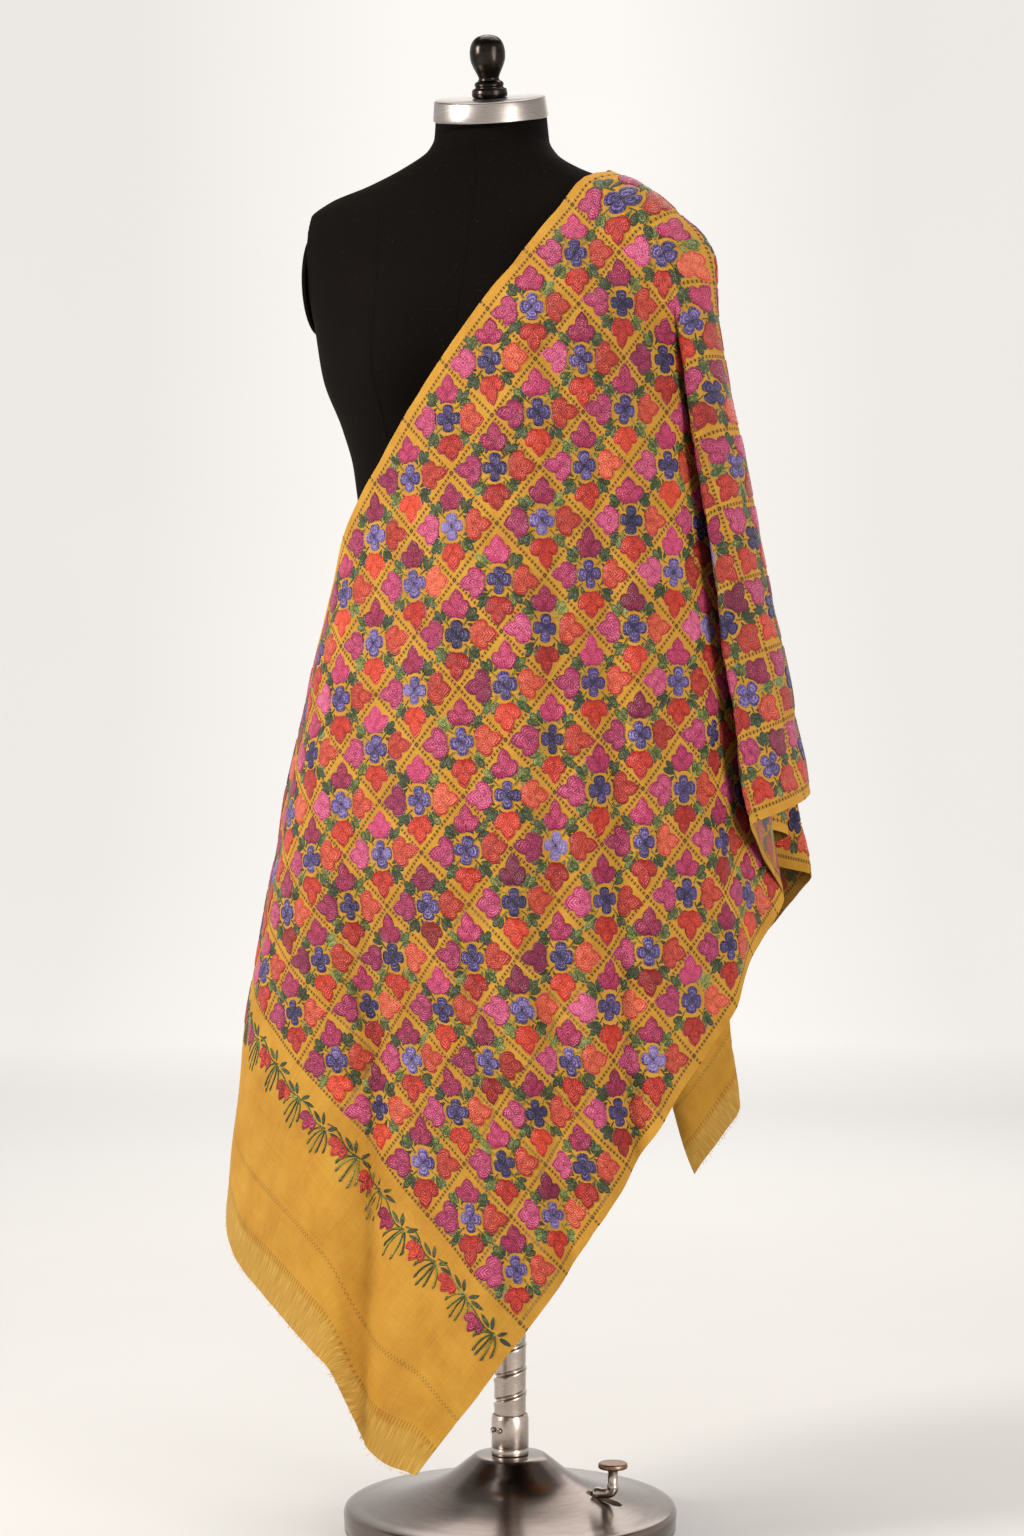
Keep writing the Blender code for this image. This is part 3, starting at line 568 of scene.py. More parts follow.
def spline(x, xs, ys):
    """Natural cubic spline through the points."""
    n = len(xs)
    h = np.diff(xs)
    a = np.zeros((n, n))
    r = np.zeros(n)
    a[0, 0] = a[-1, -1] = 1
    for i in range(1, n - 1):
        a[i, i - 1], a[i, i], a[i, i + 1] = h[i - 1], 2 * (h[i - 1] + h[i]), h[i]
        r[i] = 6 * ((ys[i + 1] - ys[i]) / h[i] - (ys[i] - ys[i - 1]) / h[i - 1])
    m = np.linalg.solve(a, r)
    k = np.clip(np.searchsorted(xs, x) - 1, 0, n - 2)
    u, v = x - xs[k], xs[k + 1] - x
    return ((m[k] * v ** 3 + m[k + 1] * u ** 3) / (6 * h[k])
            + (ys[k] / h[k] - m[k] * h[k] / 6) * v + (ys[k + 1] / h[k] - m[k + 1] * h[k] / 6) * u)


def turned_so_far(ways):
    """Angles between unit ways, added up from the first."""
    return np.append(0, np.cumsum(np.arccos(np.clip((ways[1:] * ways[:-1]).sum(1), -1, 1))))


def front_cone():
    """The cone's point, and ways down its surface with how far each has turned from the ridge."""
    points = np.column_stack([PROFILE["x"], PROFILE["y"], np.full(len(PROFILE["x"]), PROFILE_Z)])
    down = unit(points[0] - PIN)
    apex = PIN - APEX_ABOVE * down
    ways = unit(points - apex)
    turn = turned_so_far(ways)
    fine = np.linspace(0, turn[-1], CONE_STEPS)
    curve = unit(np.stack([spline(fine, turn, ways[:, k]) for k in range(3)], -1))
    return apex, turned_so_far(curve), curve


APEX, CONE_ANGLE, CONE_WAY = front_cone()
RIDGE_FLAT = np.array([sin(RIDGE_LEAN), -cos(RIDGE_LEAN)])
print("cone turns through %.0f degrees" % degrees(CONE_ANGLE[-1]))

# %% Where the front fall leaves the cone
SHOULDER_LOW, SHOULDER_HIGH, SHOULDER_BACK = 1.20, 1.42, 0.112  # it leans back onto the shoulder between levels
END_FROM, END_ALONG, END_T = -3.0, 4.5, 1.5  # where its free end begins to swing out, on the cloth
END_SWING = np.array([0.033, 0.030, 0.015])
# How far the edge of the plain end hangs below a straight hem, from its left corner to its tip.
HEM_DROPS = table("""
place         x  drop
corner   -0.290 0.062
turn     -0.260 0.042
slope    -0.232 0.025
straight -0.205 0.011
dent     -0.182 0.005
step     -0.170 0.022
bulge    -0.155 0.042
belly    -0.138 0.039
rise     -0.115 0.022
tip      -0.094 0.000
""")
print("hem drops by up to", HEM_DROPS["drop"].max())

# %% [markdown]
# The front fall's own weight pulls it into long soft troughs and ridges. Each is a line on the flat cloth with a
# height at both ends and a width, so one row moves or deepens it, where a sculpted fold would have to be redone.
# The cloth beside a fold is drawn toward it, because the fold uses up some of its width.

# %% Folds of the front fall
FRONT_FOLDS = table("""
fold    x_top y_top  x_low y_low  h_top  h_low  half
outer  -0.590 -0.45 -0.600 -0.80  0.002  0.007 0.050
swing  -0.430 -0.40 -0.470 -0.95  0.002  0.008 0.040
deep   -0.322 -0.36 -0.384 -1.10 -0.005 -0.031 0.027
knee   -0.276 -0.42 -0.262 -0.95  0.003  0.010 0.034
chest  -0.272 -0.19 -0.284 -0.40 -0.003 -0.003 0.022
slack  -0.190 -0.46 -0.208 -0.66 -0.003 -0.005 0.030
middle -0.110 -0.16 -0.165 -0.98 -0.007 -0.014 0.020
inner  -0.078 -0.17 -0.077 -0.82 -0.006 -0.015 0.020
lap    -0.045 -0.18 -0.032 -0.76  0.003  0.010 0.022
""")
FOLD_EASE = 0.14  # metres over which a fold comes up at its upper end
PINCH = 0.30  # how much the cloth beside a fold is drawn toward it


def front_folds(s, t):
    """Height of the folds at s, t, and how far they draw the cloth sideways."""
    at = hung(s, t)
    rows = FRONT_FOLDS
    high, aside = np.zeros(at.shape[:-1]), np.zeros(at.shape[:-1])
    for k in range(len(rows["half"])):
        y0, y1 = rows["y_top"][k], rows["y_low"][k]
        share = np.clip((y0 - at[..., 1]) / (y0 - y1), 0, 1.25)
        x = rows["x_top"][k] + (rows["x_low"][k] - rows["x_top"][k]) * share
        peak = rows["h_top"][k] + (rows["h_low"][k] - rows["h_top"][k]) * share
        peak = peak * ease((y0 + FOLD_EASE - at[..., 1]) / FOLD_EASE)
        off = (at[..., 0] - x) / rows["half"][k]
        bell = np.exp(-off ** 2)
        high += peak * bell
        aside -= PINCH * peak ** 2 / rows["half"][k] * off * bell
    return high, aside


print("front folds", len(FRONT_FOLDS["fold"]))

# %% The front fall
SHOULDER_CLEAR, FOLD_CLEAR = 0.008, 0.010  # cloth over the form: on the shoulder, and under the folds


def front_point(s, t):
    """Where the front fall's cloth at s, t hangs."""
    away = hung(s, t) + APEX_ABOVE * RIDGE_FLAT
    far = np.hypot(away[..., 0], away[..., 1])
    turn = np.arctan2(RIDGE_FLAT[1] * away[..., 0] - RIDGE_FLAT[0] * away[..., 1],
                      RIDGE_FLAT[0] * away[..., 0] + RIDGE_FLAT[1] * away[..., 1])
    way = np.stack([np.interp(turn, CONE_ANGLE, CONE_WAY[:, k]) for k in range(3)], -1)
    point = APEX + far[..., None] * unit(way)
    # Above the chest the cloth leans back onto the shoulder, up to its crest.
    lean = np.clip((point[..., 2] - SHOULDER_LOW) / (SHOULDER_HIGH - SHOULDER_LOW), 0, 1.2)
    point[..., 1] += SHOULDER_BACK * lean ** 2 * (1 - 0.25 * lean)
    swing = ease((s - END_FROM) / END_ALONG) * ease((t - END_T) / 4)
    point += swing[..., None] * END_SWING
    point[..., 2] -= smooth(point[..., 0], HEM_DROPS["x"], HEM_DROPS["drop"]) * ease((s - FRONT_SQUARES) / PLAIN)
    high, aside = front_folds(s, t)
    point[..., 0] += aside
    point[..., 1] -= high
    return rest_on_form(point)


print("front tip", np.round(front_point(np.array([S_FRONT]), np.array([T_ARM]))[0], 3))

# %% [markdown]
# On top of the shoulder the cloth is a narrow saddle between the neck edge and the arm. Rows give its two sides,
# from front to back, and a slight swell between them keeps it from lying like a board.

# %% The shoulder
CREST = table("""
place       s neck_x neck_y neck_z arm_x  arm_y arm_z arm_t
open   -10.90  0.000  0.000  0.000 0.147 -0.156 1.305  1.55
lip    -11.20  0.106 -0.098  1.403 0.170 -0.150 1.321  1.52
round  -11.60  0.102 -0.064  1.414 0.192 -0.110 1.326  1.48
top    -12.00  0.099 -0.040  1.417 0.195 -0.066 1.326  1.45
behind -12.40  0.096 -0.018  1.414 0.177 -0.020 1.326  1.45
""")
CREST_END, CREST_ARM = -12.40, 1.45  # the saddle's back corner at the arm, on the cloth
SWELL = 0.008
neck_start = front_point(np.array([PIN_S]), np.array([T_NECK]))[0]
for k, column in enumerate(("neck_x", "neck_y", "neck_z")):
    CREST[column][0] = neck_start[k]  # the saddle's neck edge goes on from the front fall


def shoulder_point(s, v):
    """The cloth on the shoulder: s squares along, v from the neck selvedge (0) to the arm side (1)."""
    neck, arm = (np.stack([smooth(-s, -CREST["s"], CREST[edge + k]) for k in "xyz"], -1)
                 for edge in ("neck_", "arm_"))
    swell = np.sin(pi * v) * np.clip((PIN_S - s) * 2, 0, 1) * SWELL
    point = neck + (arm - neck) * v[..., None]
    point[..., 2] += swell
    return rest_on_form(point, SHOULDER_CLEAR)


def crest_t(s):
    """How far across the cloth the saddle reaches, s squares along."""
    return smooth(-np.asarray(s, float), -CREST["s"], CREST["arm_t"])


print("shoulder top %.3f m" % shoulder_point(np.array([-12.0]), np.array([0.0]))[0, 2])

# %% [markdown]
# Beside the arm and down the back the cloth hangs in folds that all start at the shoulder. Every row is one fold
# line, from where it leaves the shoulder to where it ends at the cloth's edge, in space and on the cloth. The
# surface between two lines is straight, and the soft column says how round the bend at the line is.

# %% Fold lines
SIDE_FOLDS = table("""
fold         x0     y0    z0     s0   t0    x1     y1    z1     s1   t1 soft
ridge     0.147 -0.156 1.305 -10.90 1.55 0.222 -0.148 0.565  -4.60 9.15 0.50
flank     0.150 -0.150 1.306 -10.92 1.55 0.238 -0.124 0.602  -5.30 9.15 0.40
valley    0.155 -0.142 1.307 -10.96 1.55 0.286 -0.062 0.665  -6.90 9.15 0.24
return    0.156 -0.148 1.308 -11.02 1.55 0.262 -0.106 0.704  -8.00 9.15 0.40
nose      0.158 -0.155 1.309 -11.08 1.54 0.236 -0.154 0.742  -9.30 9.15 0.16
flap      0.172 -0.149 1.321 -11.22 1.52 0.280 -0.130 0.757 -10.00 9.15 0.46
outer     0.192 -0.110 1.326 -11.60 1.48 0.312 -0.066 0.772 -10.75 9.15 0.40
back_nose 0.195 -0.072 1.326 -11.95 1.45 0.311 -0.034 0.777 -11.40 9.15 0.20
tuck      0.186 -0.060 1.326 -12.05 1.45 0.246 -0.044 0.741 -12.50 9.15 0.20
under     0.190 -0.048 1.326 -12.18 1.45 0.300 -0.010 0.729 -13.20 9.15 0.20
inner     0.182 -0.034 1.326 -12.30 1.45 0.240  0.040 0.705 -14.70 9.15 0.20
corner    0.177 -0.020 1.326 -12.40 1.45 0.324  0.034 0.686 -16.60 9.15 0.30
""")
BACK_FOLDS = table("""
fold         x0     y0    z0     s0    t0     x1    y1    z1     s1    t1 soft
corner    0.176 -0.017 1.326 -12.40  1.45  0.324 0.037 0.685 -16.62  9.15 0.30
reveal    0.172 -0.014 1.328 -12.40  1.44  0.292 0.085 0.640 -17.60  9.15 0.50
hang      0.168 -0.011 1.331 -12.40  1.42  0.266 0.112 0.602 -18.50  9.15 0.50
inward    0.164 -0.008 1.335 -12.40  1.40  0.243 0.125 0.545 -19.30  9.15 0.50
turn      0.160 -0.006 1.340 -12.40  1.36  0.150 0.128 0.500 -20.60  9.15 0.20
tail      0.157 -0.004 1.345 -12.40  1.32  0.176 0.150 0.440 -21.90  9.15 0.40
tip       0.153 -0.002 1.350 -12.40  1.26  0.200 0.156 0.346 -23.14  9.15 0.50
edge_fold 0.148  0.000 1.358 -12.40  1.16  0.262 0.166 0.430 -23.14  7.75 0.14
blade     0.138 -0.004 1.376 -12.40  0.85  0.110 0.204 0.540 -23.14  5.10 0.40
spine     0.118 -0.012 1.400 -12.40  0.40 -0.040 0.214 0.640 -23.14  2.60 0.50
neckside  0.096 -0.018 1.414 -12.40 -0.15 -0.180 0.180 0.710 -23.14 -0.15 0.50
""")
print("fold lines", len(SIDE_FOLDS["fold"]), "and", len(BACK_FOLDS["fold"]))

# %% Rounding the folds
SOFTEST = 0.46  # most of the way to the next line that a bend may take
CORNER_STEPS, GAP_STEPS = 8, 3  # steps round a bend, and between two bends


def rounded(rows, soft):
    """Line through the rows (each a list of values) with every inner corner rounded off."""
    def straight(last, end):
        return [last + (end - last) * j / GAP_STEPS for j in range(1, GAP_STEPS + 1)]

    out = [rows[0]]
    for k in range(1, len(rows) - 1):
        before = rows[k] + soft[k] * (rows[k - 1] - rows[k])
        after = rows[k] + soft[k] * (rows[k + 1] - rows[k])
        out += straight(out[-1], before)
        for j in range(1, CORNER_STEPS + 1):
            u = j / CORNER_STEPS
            out.append(before * (1 - u) ** 2 + 2 * u * (1 - u) * rows[k] + after * u * u)
    return np.array(out + straight(out[-1], rows[-1]))


def fan(rows):
    """Upper and lower ends (x, y, z, s, t) of a fan's many fine lines, and the table row of each."""
    top, low = (np.column_stack([rows[c + end] for c in "xyzst"]) for end in "01")
    soft = np.minimum(rows["soft"], SOFTEST)
    return rounded(top, soft), rounded(low, soft), rounded(np.arange(len(soft), dtype=float)[:, None], soft)[:, 0]


print("fine lines", len(fan(SIDE_FOLDS)[0]), "and", len(fan(BACK_FOLDS)[0]))

# %% [markdown]
# To lay a spot of the flat cloth into a fan, its two neighbouring fold lines have to be found. They are straight
# on the flat cloth too, so the spot lies to the left of one and to the right of the next. How far down the line
# it lies says where it is in space.

# %% Laying cloth into a fan
FOLD_FADE = 0.2  # share of a fold line that keeps to the shoulder's curve
BATCH = 4000  # spots looked up at a time, to keep the tables small


def find_in_fan(top, low, s, t):
    """For each s, t the fan line, with a fraction, that runs through it, and how far down it is."""
    start, run = top[:, 3:], (low - top)[:, 3:]
    line, down = np.zeros(len(s)), np.zeros(len(s))
    for some in np.array_split(np.arange(len(s)), max(1, len(s) // BATCH)):
        ds, dt = s[some, None] - start[:, 0], t[some, None] - start[:, 1]
        side = run[:, 0] * dt - run[:, 1] * ds
        passed = side[:, :-1] * side[:, 1:] <= 0
        nearer_end = np.where(np.abs(side[:, 0]) < np.abs(side[:, -1]), 0, side.shape[1] - 2)
        k = np.where(passed.any(1), passed.argmax(1), nearer_end)
        n = np.arange(len(some))
        gap = side[n, k] - side[n, k + 1]
        part = np.clip(side[n, k] / np.where(gap == 0, 1, gap), 0, 1)
        line[some] = k + part
        a = start[k] + (start[k + 1] - start[k]) * part[:, None]
        d = run[k] + (run[k + 1] - run[k]) * part[:, None]
        down[some] = ((s[some] - a[:, 0]) * d[:, 0] + (t[some] - a[:, 1]) * d[:, 1]) / (d ** 2).sum(1)
    return line, np.clip(down, 0, 1.02)


def pick(values, line):
    """Row of values at a fractional row number."""
    k = np.clip(line.astype(int), 0, len(values) - 2)
    part = (line - k).reshape(-1, *[1] * (values.ndim - 1))
    return values[k] * (1 - part) + values[k + 1] * part


def fan_point(rows, s, t):
    """Where the cloth of a fan hangs, its table place and its share down the fold lines."""
    top, low, place = fan(rows)
    over = np.clip((top[:, 4] - T_NECK) / (crest_t(top[:, 3]) - T_NECK), 0, 1)
    shift = shoulder_point(top[:, 3], over) - top[:, :3]
    line, down = find_in_fan(top, low, s, t)
    a, b = pick(top[:, :3], line), pick(low[:, :3], line)
    fade = 1 - ease(down / FOLD_FADE)
    return a + (b - a) * down[:, None] + pick(shift, line) * fade[:, None], pick(place, line), down


# %% [markdown]
# The folds of the fans are flat and sharp where the cloth doubles back, and the broad stretch down the back needs
# soft folds too. They are rows again: which fold line they follow, how deep and how wide.

# %% Soft folds of the back and the side
BACK_SWAGS = table("""
swag    place from   deep wide
tuck_1   8.12 0.10 -0.010 0.16
ridge_1  8.40 0.15  0.007 0.14
trough   8.72 0.12 -0.016 0.17
ridge_2  9.05 0.20  0.009 0.20
fall     9.34 0.10 -0.013 0.15
lap      9.62 0.25  0.008 0.14
edge     9.86 0.30 -0.006 0.10
""")


def swags(rows, place, down):
    """Height of the soft folds of a fan."""
    high = np.zeros(len(place))
    for at, start, deep, wide in zip(*(rows[c] for c in ("place", "from", "deep", "wide"))):
        wander = at + 0.05 * np.sin(5.0 * down + 9.0 * at)
        high += deep * ease((down - start) / 0.35) * np.exp(-((place - wander) / wide) ** 2)
    return high


# %% [markdown]
# The whole cloth is worked out once on an even net of spots 4 mm apart. Its regions meet on lines, so a little
# evening out along the net rounds the joins the way cloth does. Then it gets the small unevenness of wool that
# was folded away and shaken out. Holes and stitches are placed through this net.

# %% The net of the whole cloth
NET = 1 / 16  # squares between two spots of the net
ROUNDINGS = 5  # times the whole net is evened out
net_s = np.linspace(S_BACK, S_FRONT, round((S_FRONT - S_BACK) / NET) + 1)
net_t = np.linspace(T_NECK, T_ARM, round((T_ARM - T_NECK) / NET) + 1)
RIDGE_END, CORNER_END = -4.60, -16.61  # squares along, where these folds reach the arm selvedge
RIDGE_RUN = (RIDGE_END - PIN_S) / (T_ARM - PIN_T)  # squares along for each one across
CORNER_RUN = (CORNER_END - CREST_END) / (T_ARM - CREST_ARM)


def lay_cloth():
    """Points, heights of the soft folds, s and t on the net of the whole cloth."""
    s, t = (a.ravel() for a in np.meshgrid(net_s, net_t, indexing="ij"))
    point, relief = np.zeros((len(s), 3)), np.zeros(len(s))
    ahead = s >= PIN_S + RIDGE_RUN * np.clip(t - PIN_T, 0, None)
    shoulder = ~ahead & (s >= CREST_END) & (t <= crest_t(s))
    behind = ~ahead & ~shoulder & (s < CREST_END + CORNER_RUN * np.clip(t - CREST_ARM, 0, None))
    beside = ~(ahead | shoulder | behind)
    point[ahead] = front_point(s[ahead], t[ahead])
    v = (t[shoulder] - T_NECK) / (crest_t(s[shoulder]) - T_NECK)
    point[shoulder] = shoulder_point(s[shoulder], np.clip(v, 0, 1))

    # The first side fold is drawn over to the front fall's edge, so that the two meet along the ridge.
    down = np.linspace(0, 1, 60)
    edge_s, edge_t = PIN_S + (RIDGE_END - PIN_S) * down, PIN_T + (T_ARM - PIN_T) * down
    reach = front_point(edge_s, edge_t) - fan_point(SIDE_FOLDS, edge_s, edge_t)[0]
    where, place, share = fan_point(SIDE_FOLDS, s[beside], t[beside])
    pull = np.stack([np.interp(share, down, reach[:, k]) for k in range(3)], -1)
    where += pull * (1 - ease(place / 1.5))[:, None]
    point[beside] = rest_on_form(where, FOLD_CLEAR)
    where, place, share = fan_point(BACK_FOLDS, s[behind], t[behind])
    point[behind] = rest_on_form(where, FOLD_CLEAR)
    relief[behind] = swags(BACK_SWAGS, place, share)
    shape = (len(net_s), len(net_t))
    return point.reshape(*shape, 3), relief.reshape(shape), s.reshape(shape), t.reshape(shape)


def even_out(values, times):
    """Averages a net with its neighbours, its border only along itself, so the cut keeps its size."""
    for _ in range(times):
        new = values.copy()
        new[1:-1, 1:-1] = (values[1:-1, 1:-1] * 2 + (values[2:, 1:-1] + values[:-2, 1:-1]
                           + values[1:-1, 2:] + values[1:-1, :-2]) / 2) / 4
        for edge in (0, -1):
            new[edge, 1:-1] = (values[edge, 2:] + values[edge, :-2] + 2 * values[edge, 1:-1]) / 4
            new[1:-1, edge] = (values[2:, edge] + values[:-2, edge] + 2 * values[1:-1, edge]) / 4
        values = new
    return values


def facing(point):
    """Way out of the right side at every spot of a net."""
    return unit(np.cross(np.gradient(point, axis=0), np.gradient(point, axis=1)))


net, relief, grid_s, grid_t = lay_cloth()
net = even_out(net, ROUNDINGS)
print("net", net.shape, "lowest %.3f m" % net[..., 2].min())

# %% Unevenness
WAVES = table("""
wave    per_s per_t phase   high
long_1   0.13  0.21   0.4 0.0011
long_2   0.29 -0.17   2.1 0.0010
mid_1    0.47  0.38   4.0 0.0007
mid_2   -0.35  0.62   5.2 0.0006
small_1  0.93  0.41   1.3 0.0003
small_2  0.52 -1.07   3.3 0.0003
""")
THREAD_CLEAR = 0.003  # the whole cloth over the form
uneven = sum(high * np.sin(2 * pi * (ws * grid_s + wt * grid_t) + phase + 1.7 * np.sin(0.9 * grid_t + phase))
             for ws, wt, phase, high in zip(*(WAVES[c] for c in ("per_s", "per_t", "phase", "high"))))
# The ends are free and curl a little; the shoulder is pressed flat by its own weight.
free = ease((net[..., 2].max() - net[..., 2]) / 0.25)
net = net + facing(net) * (relief + uneven * (0.3 + 0.7 * free))[..., None]
net = rest_on_form(even_out(net, 2), THREAD_CLEAR)
normal = facing(even_out(net, 1))
spans = np.linalg.norm(np.diff(net, axis=0), axis=-1) / (NET * SQUARE)
print("stretch along %.2f to %.2f" % tuple(np.percentile(spans, (1, 99))))

# %% Placing things on the cloth
def on_cloth(s, t, high=0.0):
    """Points at s, t on the hung cloth, high metres above its right side."""
    i = np.clip((np.asarray(s) - S_BACK) / (S_FRONT - S_BACK), 0, 1) * (len(net_s) - 1)
    j = np.clip((np.asarray(t) - T_NECK) / (T_ARM - T_NECK), 0, 1) * (len(net_t) - 1)
    i0, j0 = np.minimum(i.astype(int), len(net_s) - 2), np.minimum(j.astype(int), len(net_t) - 2)
    u, v = (i - i0)[..., None], (j - j0)[..., None]

    def blend(a):
        return ((a[i0, j0] * (1 - v) + a[i0, j0 + 1] * v) * (1 - u)
                + (a[i0 + 1, j0] * (1 - v) + a[i0 + 1, j0 + 1] * v) * u)

    return blend(net) + blend(normal) * np.asarray(high)[..., None]


print("a spot of the cloth", np.round(on_cloth(-10.0, 4.5), 3))

# %% [markdown]
# ## The openwork cloth
# Rows of small holes divide the squares, where threads were drawn out and the rest bound in bundles. Holes could
# be painted dark, but real ones show what is behind them, so they are cut into the mesh, and the finish paints
# shade round them. The cloth is divided into squares, plain bands and narrow ladders, where a thin slot is left
# out beside every bundle. The plain ends get their rows of drawn threads from the finish alone, as rows of
# painted shade.

# %% Bands along and across the cloth
CELLS, PITCHES = 8, 2  # cells across one square, and holes for each cell
HOLE_HALF = 0.0170  # half the length of a hole, in squares
OPEN = 0.06  # share of a hole's pitch that is open
PITCH = (1 - 2 * HOLE_HALF) / (CELLS * PITCHES)  # from one hole to the next, in squares
END_CELLS = 16  # cells along a plain end
BORDER_HALVES = (0.030, 0.045)  # of the rows of drawn threads at the ends, in squares
BORDER_LINES = (1.62, 2.18)  # squares beyond the last square where those rows are


def ladders(first, count):
    """Bands (kind, low, high, cells) of count squares from first on, with a ladder on every line."""
    made = []
    for line in first + np.arange(count + 1):
        made.append(("ladder", line - HOLE_HALF, line + HOLE_HALF, 1))
        made.append(("square", line + HOLE_HALF, line + 1 - HOLE_HALF, CELLS))
    return made[:-1]


squares_along = round(FRONT_SQUARES - BACK_SQUARES)
along = ([("plain", S_BACK, BACK_SQUARES - HOLE_HALF, END_CELLS)] + ladders(BACK_SQUARES, squares_along)
         + [("plain", FRONT_SQUARES + HOLE_HALF, S_FRONT, END_CELLS)])
across = ([("plain", T_NECK, -HOLE_HALF, 1)] + ladders(0, ACROSS)
          + [("plain", ACROSS + HOLE_HALF, T_ARM, 1)])
print("bands", len(along), "x", len(across))

# %% [markdown]
# A square's own cells have to share every corner of a hole beside them, or the cloth would be torn open there. So
# the outer cells take the hole corners into their edges and become polygons of six corners or more.

# %% Cutting the cloth
def hole_spots(low, high, cells):
    """Where the bundles of a ladder and the slots between them begin, in turn, along a band."""
    bundles = np.linspace(low, high, cells * PITCHES + 1)
    return np.sort(np.concatenate([bundles, bundles[:-1] + np.diff(bundles) * (1 - OPEN)]))


def beside(bands, n, spots):
    """The spots at the start and the end of band n, where a ladder lies there."""
    return [spots if 0 <= k < len(bands) and bands[k][0] == "ladder" else [] for k in (n - 1, n + 1)]


def inner(spots, low, high, wanted):
    """The spots strictly between low and high, if they are wanted."""
    return [p for p in spots if low + 1e-6 < p < high - 1e-6] if wanted else []


def cells(band_s, band_t, spots_s, spots_t):
    """Cells where two bands cross, with the hole corners in the edges that lie on a ladder."""
    rows, cols = (np.linspace(low, high, count + 1) for _, low, high, count in (band_s, band_t))
    last_i, last_j = band_s[3] - 1, band_t[3] - 1
    for i, (s0, s1) in enumerate(zip(rows, rows[1:])):
        for j, (t0, t1) in enumerate(zip(cols, cols[1:])):
            bottom, top = inner(spots_t[0], t0, t1, i == 0), inner(spots_t[1], t0, t1, i == last_i)
            left, right = inner(spots_s[0], s0, s1, j == 0), inner(spots_s[1], s0, s1, j == last_j)
            yield ([(s0, t0)] + [(s0, q) for q in bottom] + [(s0, t1)] + [(p, t1) for p in right]
                   + [(s1, t1)] + [(s1, q) for q in top[::-1]] + [(s1, t0)] + [(p, t0) for p in left[::-1]])


def cut_cloth():
    """Polygons of the flat cloth as lists of (s, t) corners, with every hole left out."""
    polygons = []
    for a, (kind_s, s0, s1, cells_s) in enumerate(along):
        for b, (kind_t, t0, t1, cells_t) in enumerate(across):
            spots_s = hole_spots(s0, s1, cells_s) if kind_s == "square" else []
            spots_t = hole_spots(t0, t1, cells_t) if kind_t == "square" else []
            if kind_s == "ladder" and kind_t == "square":
                polygons += [[(s0, p), (s0, q), (s1, q), (s1, p)] for p, q in zip(spots_t[::2], spots_t[1::2])]
            elif kind_t == "ladder" and kind_s == "square":
                polygons += [[(p, t0), (p, t1), (q, t1), (q, t0)] for p, q in zip(spots_s[::2], spots_s[1::2])]
            else:
                polygons += cells(along[a], across[b], beside(across, b, spots_s), beside(along, a, spots_t))
    return polygons


polygons = cut_cloth()
corners = {}
runs = [[corners.setdefault((round(float(s), 5), round(float(t), 5)), len(corners)) for s, t in polygon[::-1]]
        for polygon in polygons]
flat = np.array(list(corners))
print("polygons", len(runs), "spots", len(flat))

# %% [markdown]
# The border of the cloth isn't cut with a ruler. The selvedges wander by a millimetre, and the two ends are torn
# along a thread and have frayed a little.

# %% The stole
CLOTH_THICK = 0.0009
SIDE_FADE, END_FADE = 0.15, 0.3  # squares inward over which the drift of the border fades


def wander(flat):
    """Small sideways drift of the border, fading inward."""
    s, t = flat[:, 0], flat[:, 1]
    side = np.maximum(ease((T_NECK + SIDE_FADE - t) / SIDE_FADE), ease((t - T_ARM + SIDE_FADE) / SIDE_FADE))
    end = np.maximum(ease((S_BACK + END_FADE - s) / END_FADE), ease((s - S_FRONT + END_FADE) / END_FADE))
    drift_t = 0.010 * np.sin(1.9 * s + 0.6) + 0.007 * np.sin(5.3 * s) + 0.004 * np.sin(11.0 * s + 2.0)
    drift_s = 0.016 * np.sin(1.3 * t) + 0.010 * np.sin(4.1 * t + 1.0) + 0.006 * np.sin(9.7 * t)
    return np.column_stack([s + drift_s * end * np.sign(s - PIN_S), t + drift_t * side])


spots = wander(flat)
spots = np.column_stack([np.clip(spots[:, 0], S_BACK, S_FRONT), np.clip(spots[:, 1], T_NECK, T_ARM)])
flat_runs = np.concatenate([np.array(r) for r in runs])
stole = fast_mesh("stole", on_cloth(*spots.T), flat_runs,
                  uv=flat[flat_runs][:, ::-1] * SQUARE, sizes=np.array([len(r) for r in runs], np.int32))
tell(stole)

# %% [markdown]
# ## Thread work
# Every flower is filled with rows of chain stitch that follow its outline, so each is a small raised pad with a
# ridge at its edge, a furrow and a fuller middle. An object a flower would make thousands, so all pads of one
# colour are one mesh. Each pad carries two things for its finish: how light it is, from the dye of its skein and
# darker at the rim than further in, and stitch coordinates, in metres around the pad and in from its edge.

# %% Threads
CHANCE = np.random.default_rng(40)
DYES = {"magenta": ((88, 2, 38), (166, 10, 70), (216, 78, 124)),
        "orchid": ((106, 6, 50), (176, 30, 88), (228, 112, 150)),
        "coral": ((136, 18, 10), (194, 48, 26), (234, 118, 80)),
        "red": ((118, 6, 4), (190, 24, 10), (230, 80, 40)),
        "purple": ((24, 12, 54), (62, 42, 108), (142, 122, 180)),
        "green": ((34, 46, 12), (76, 88, 28), (148, 154, 76))}


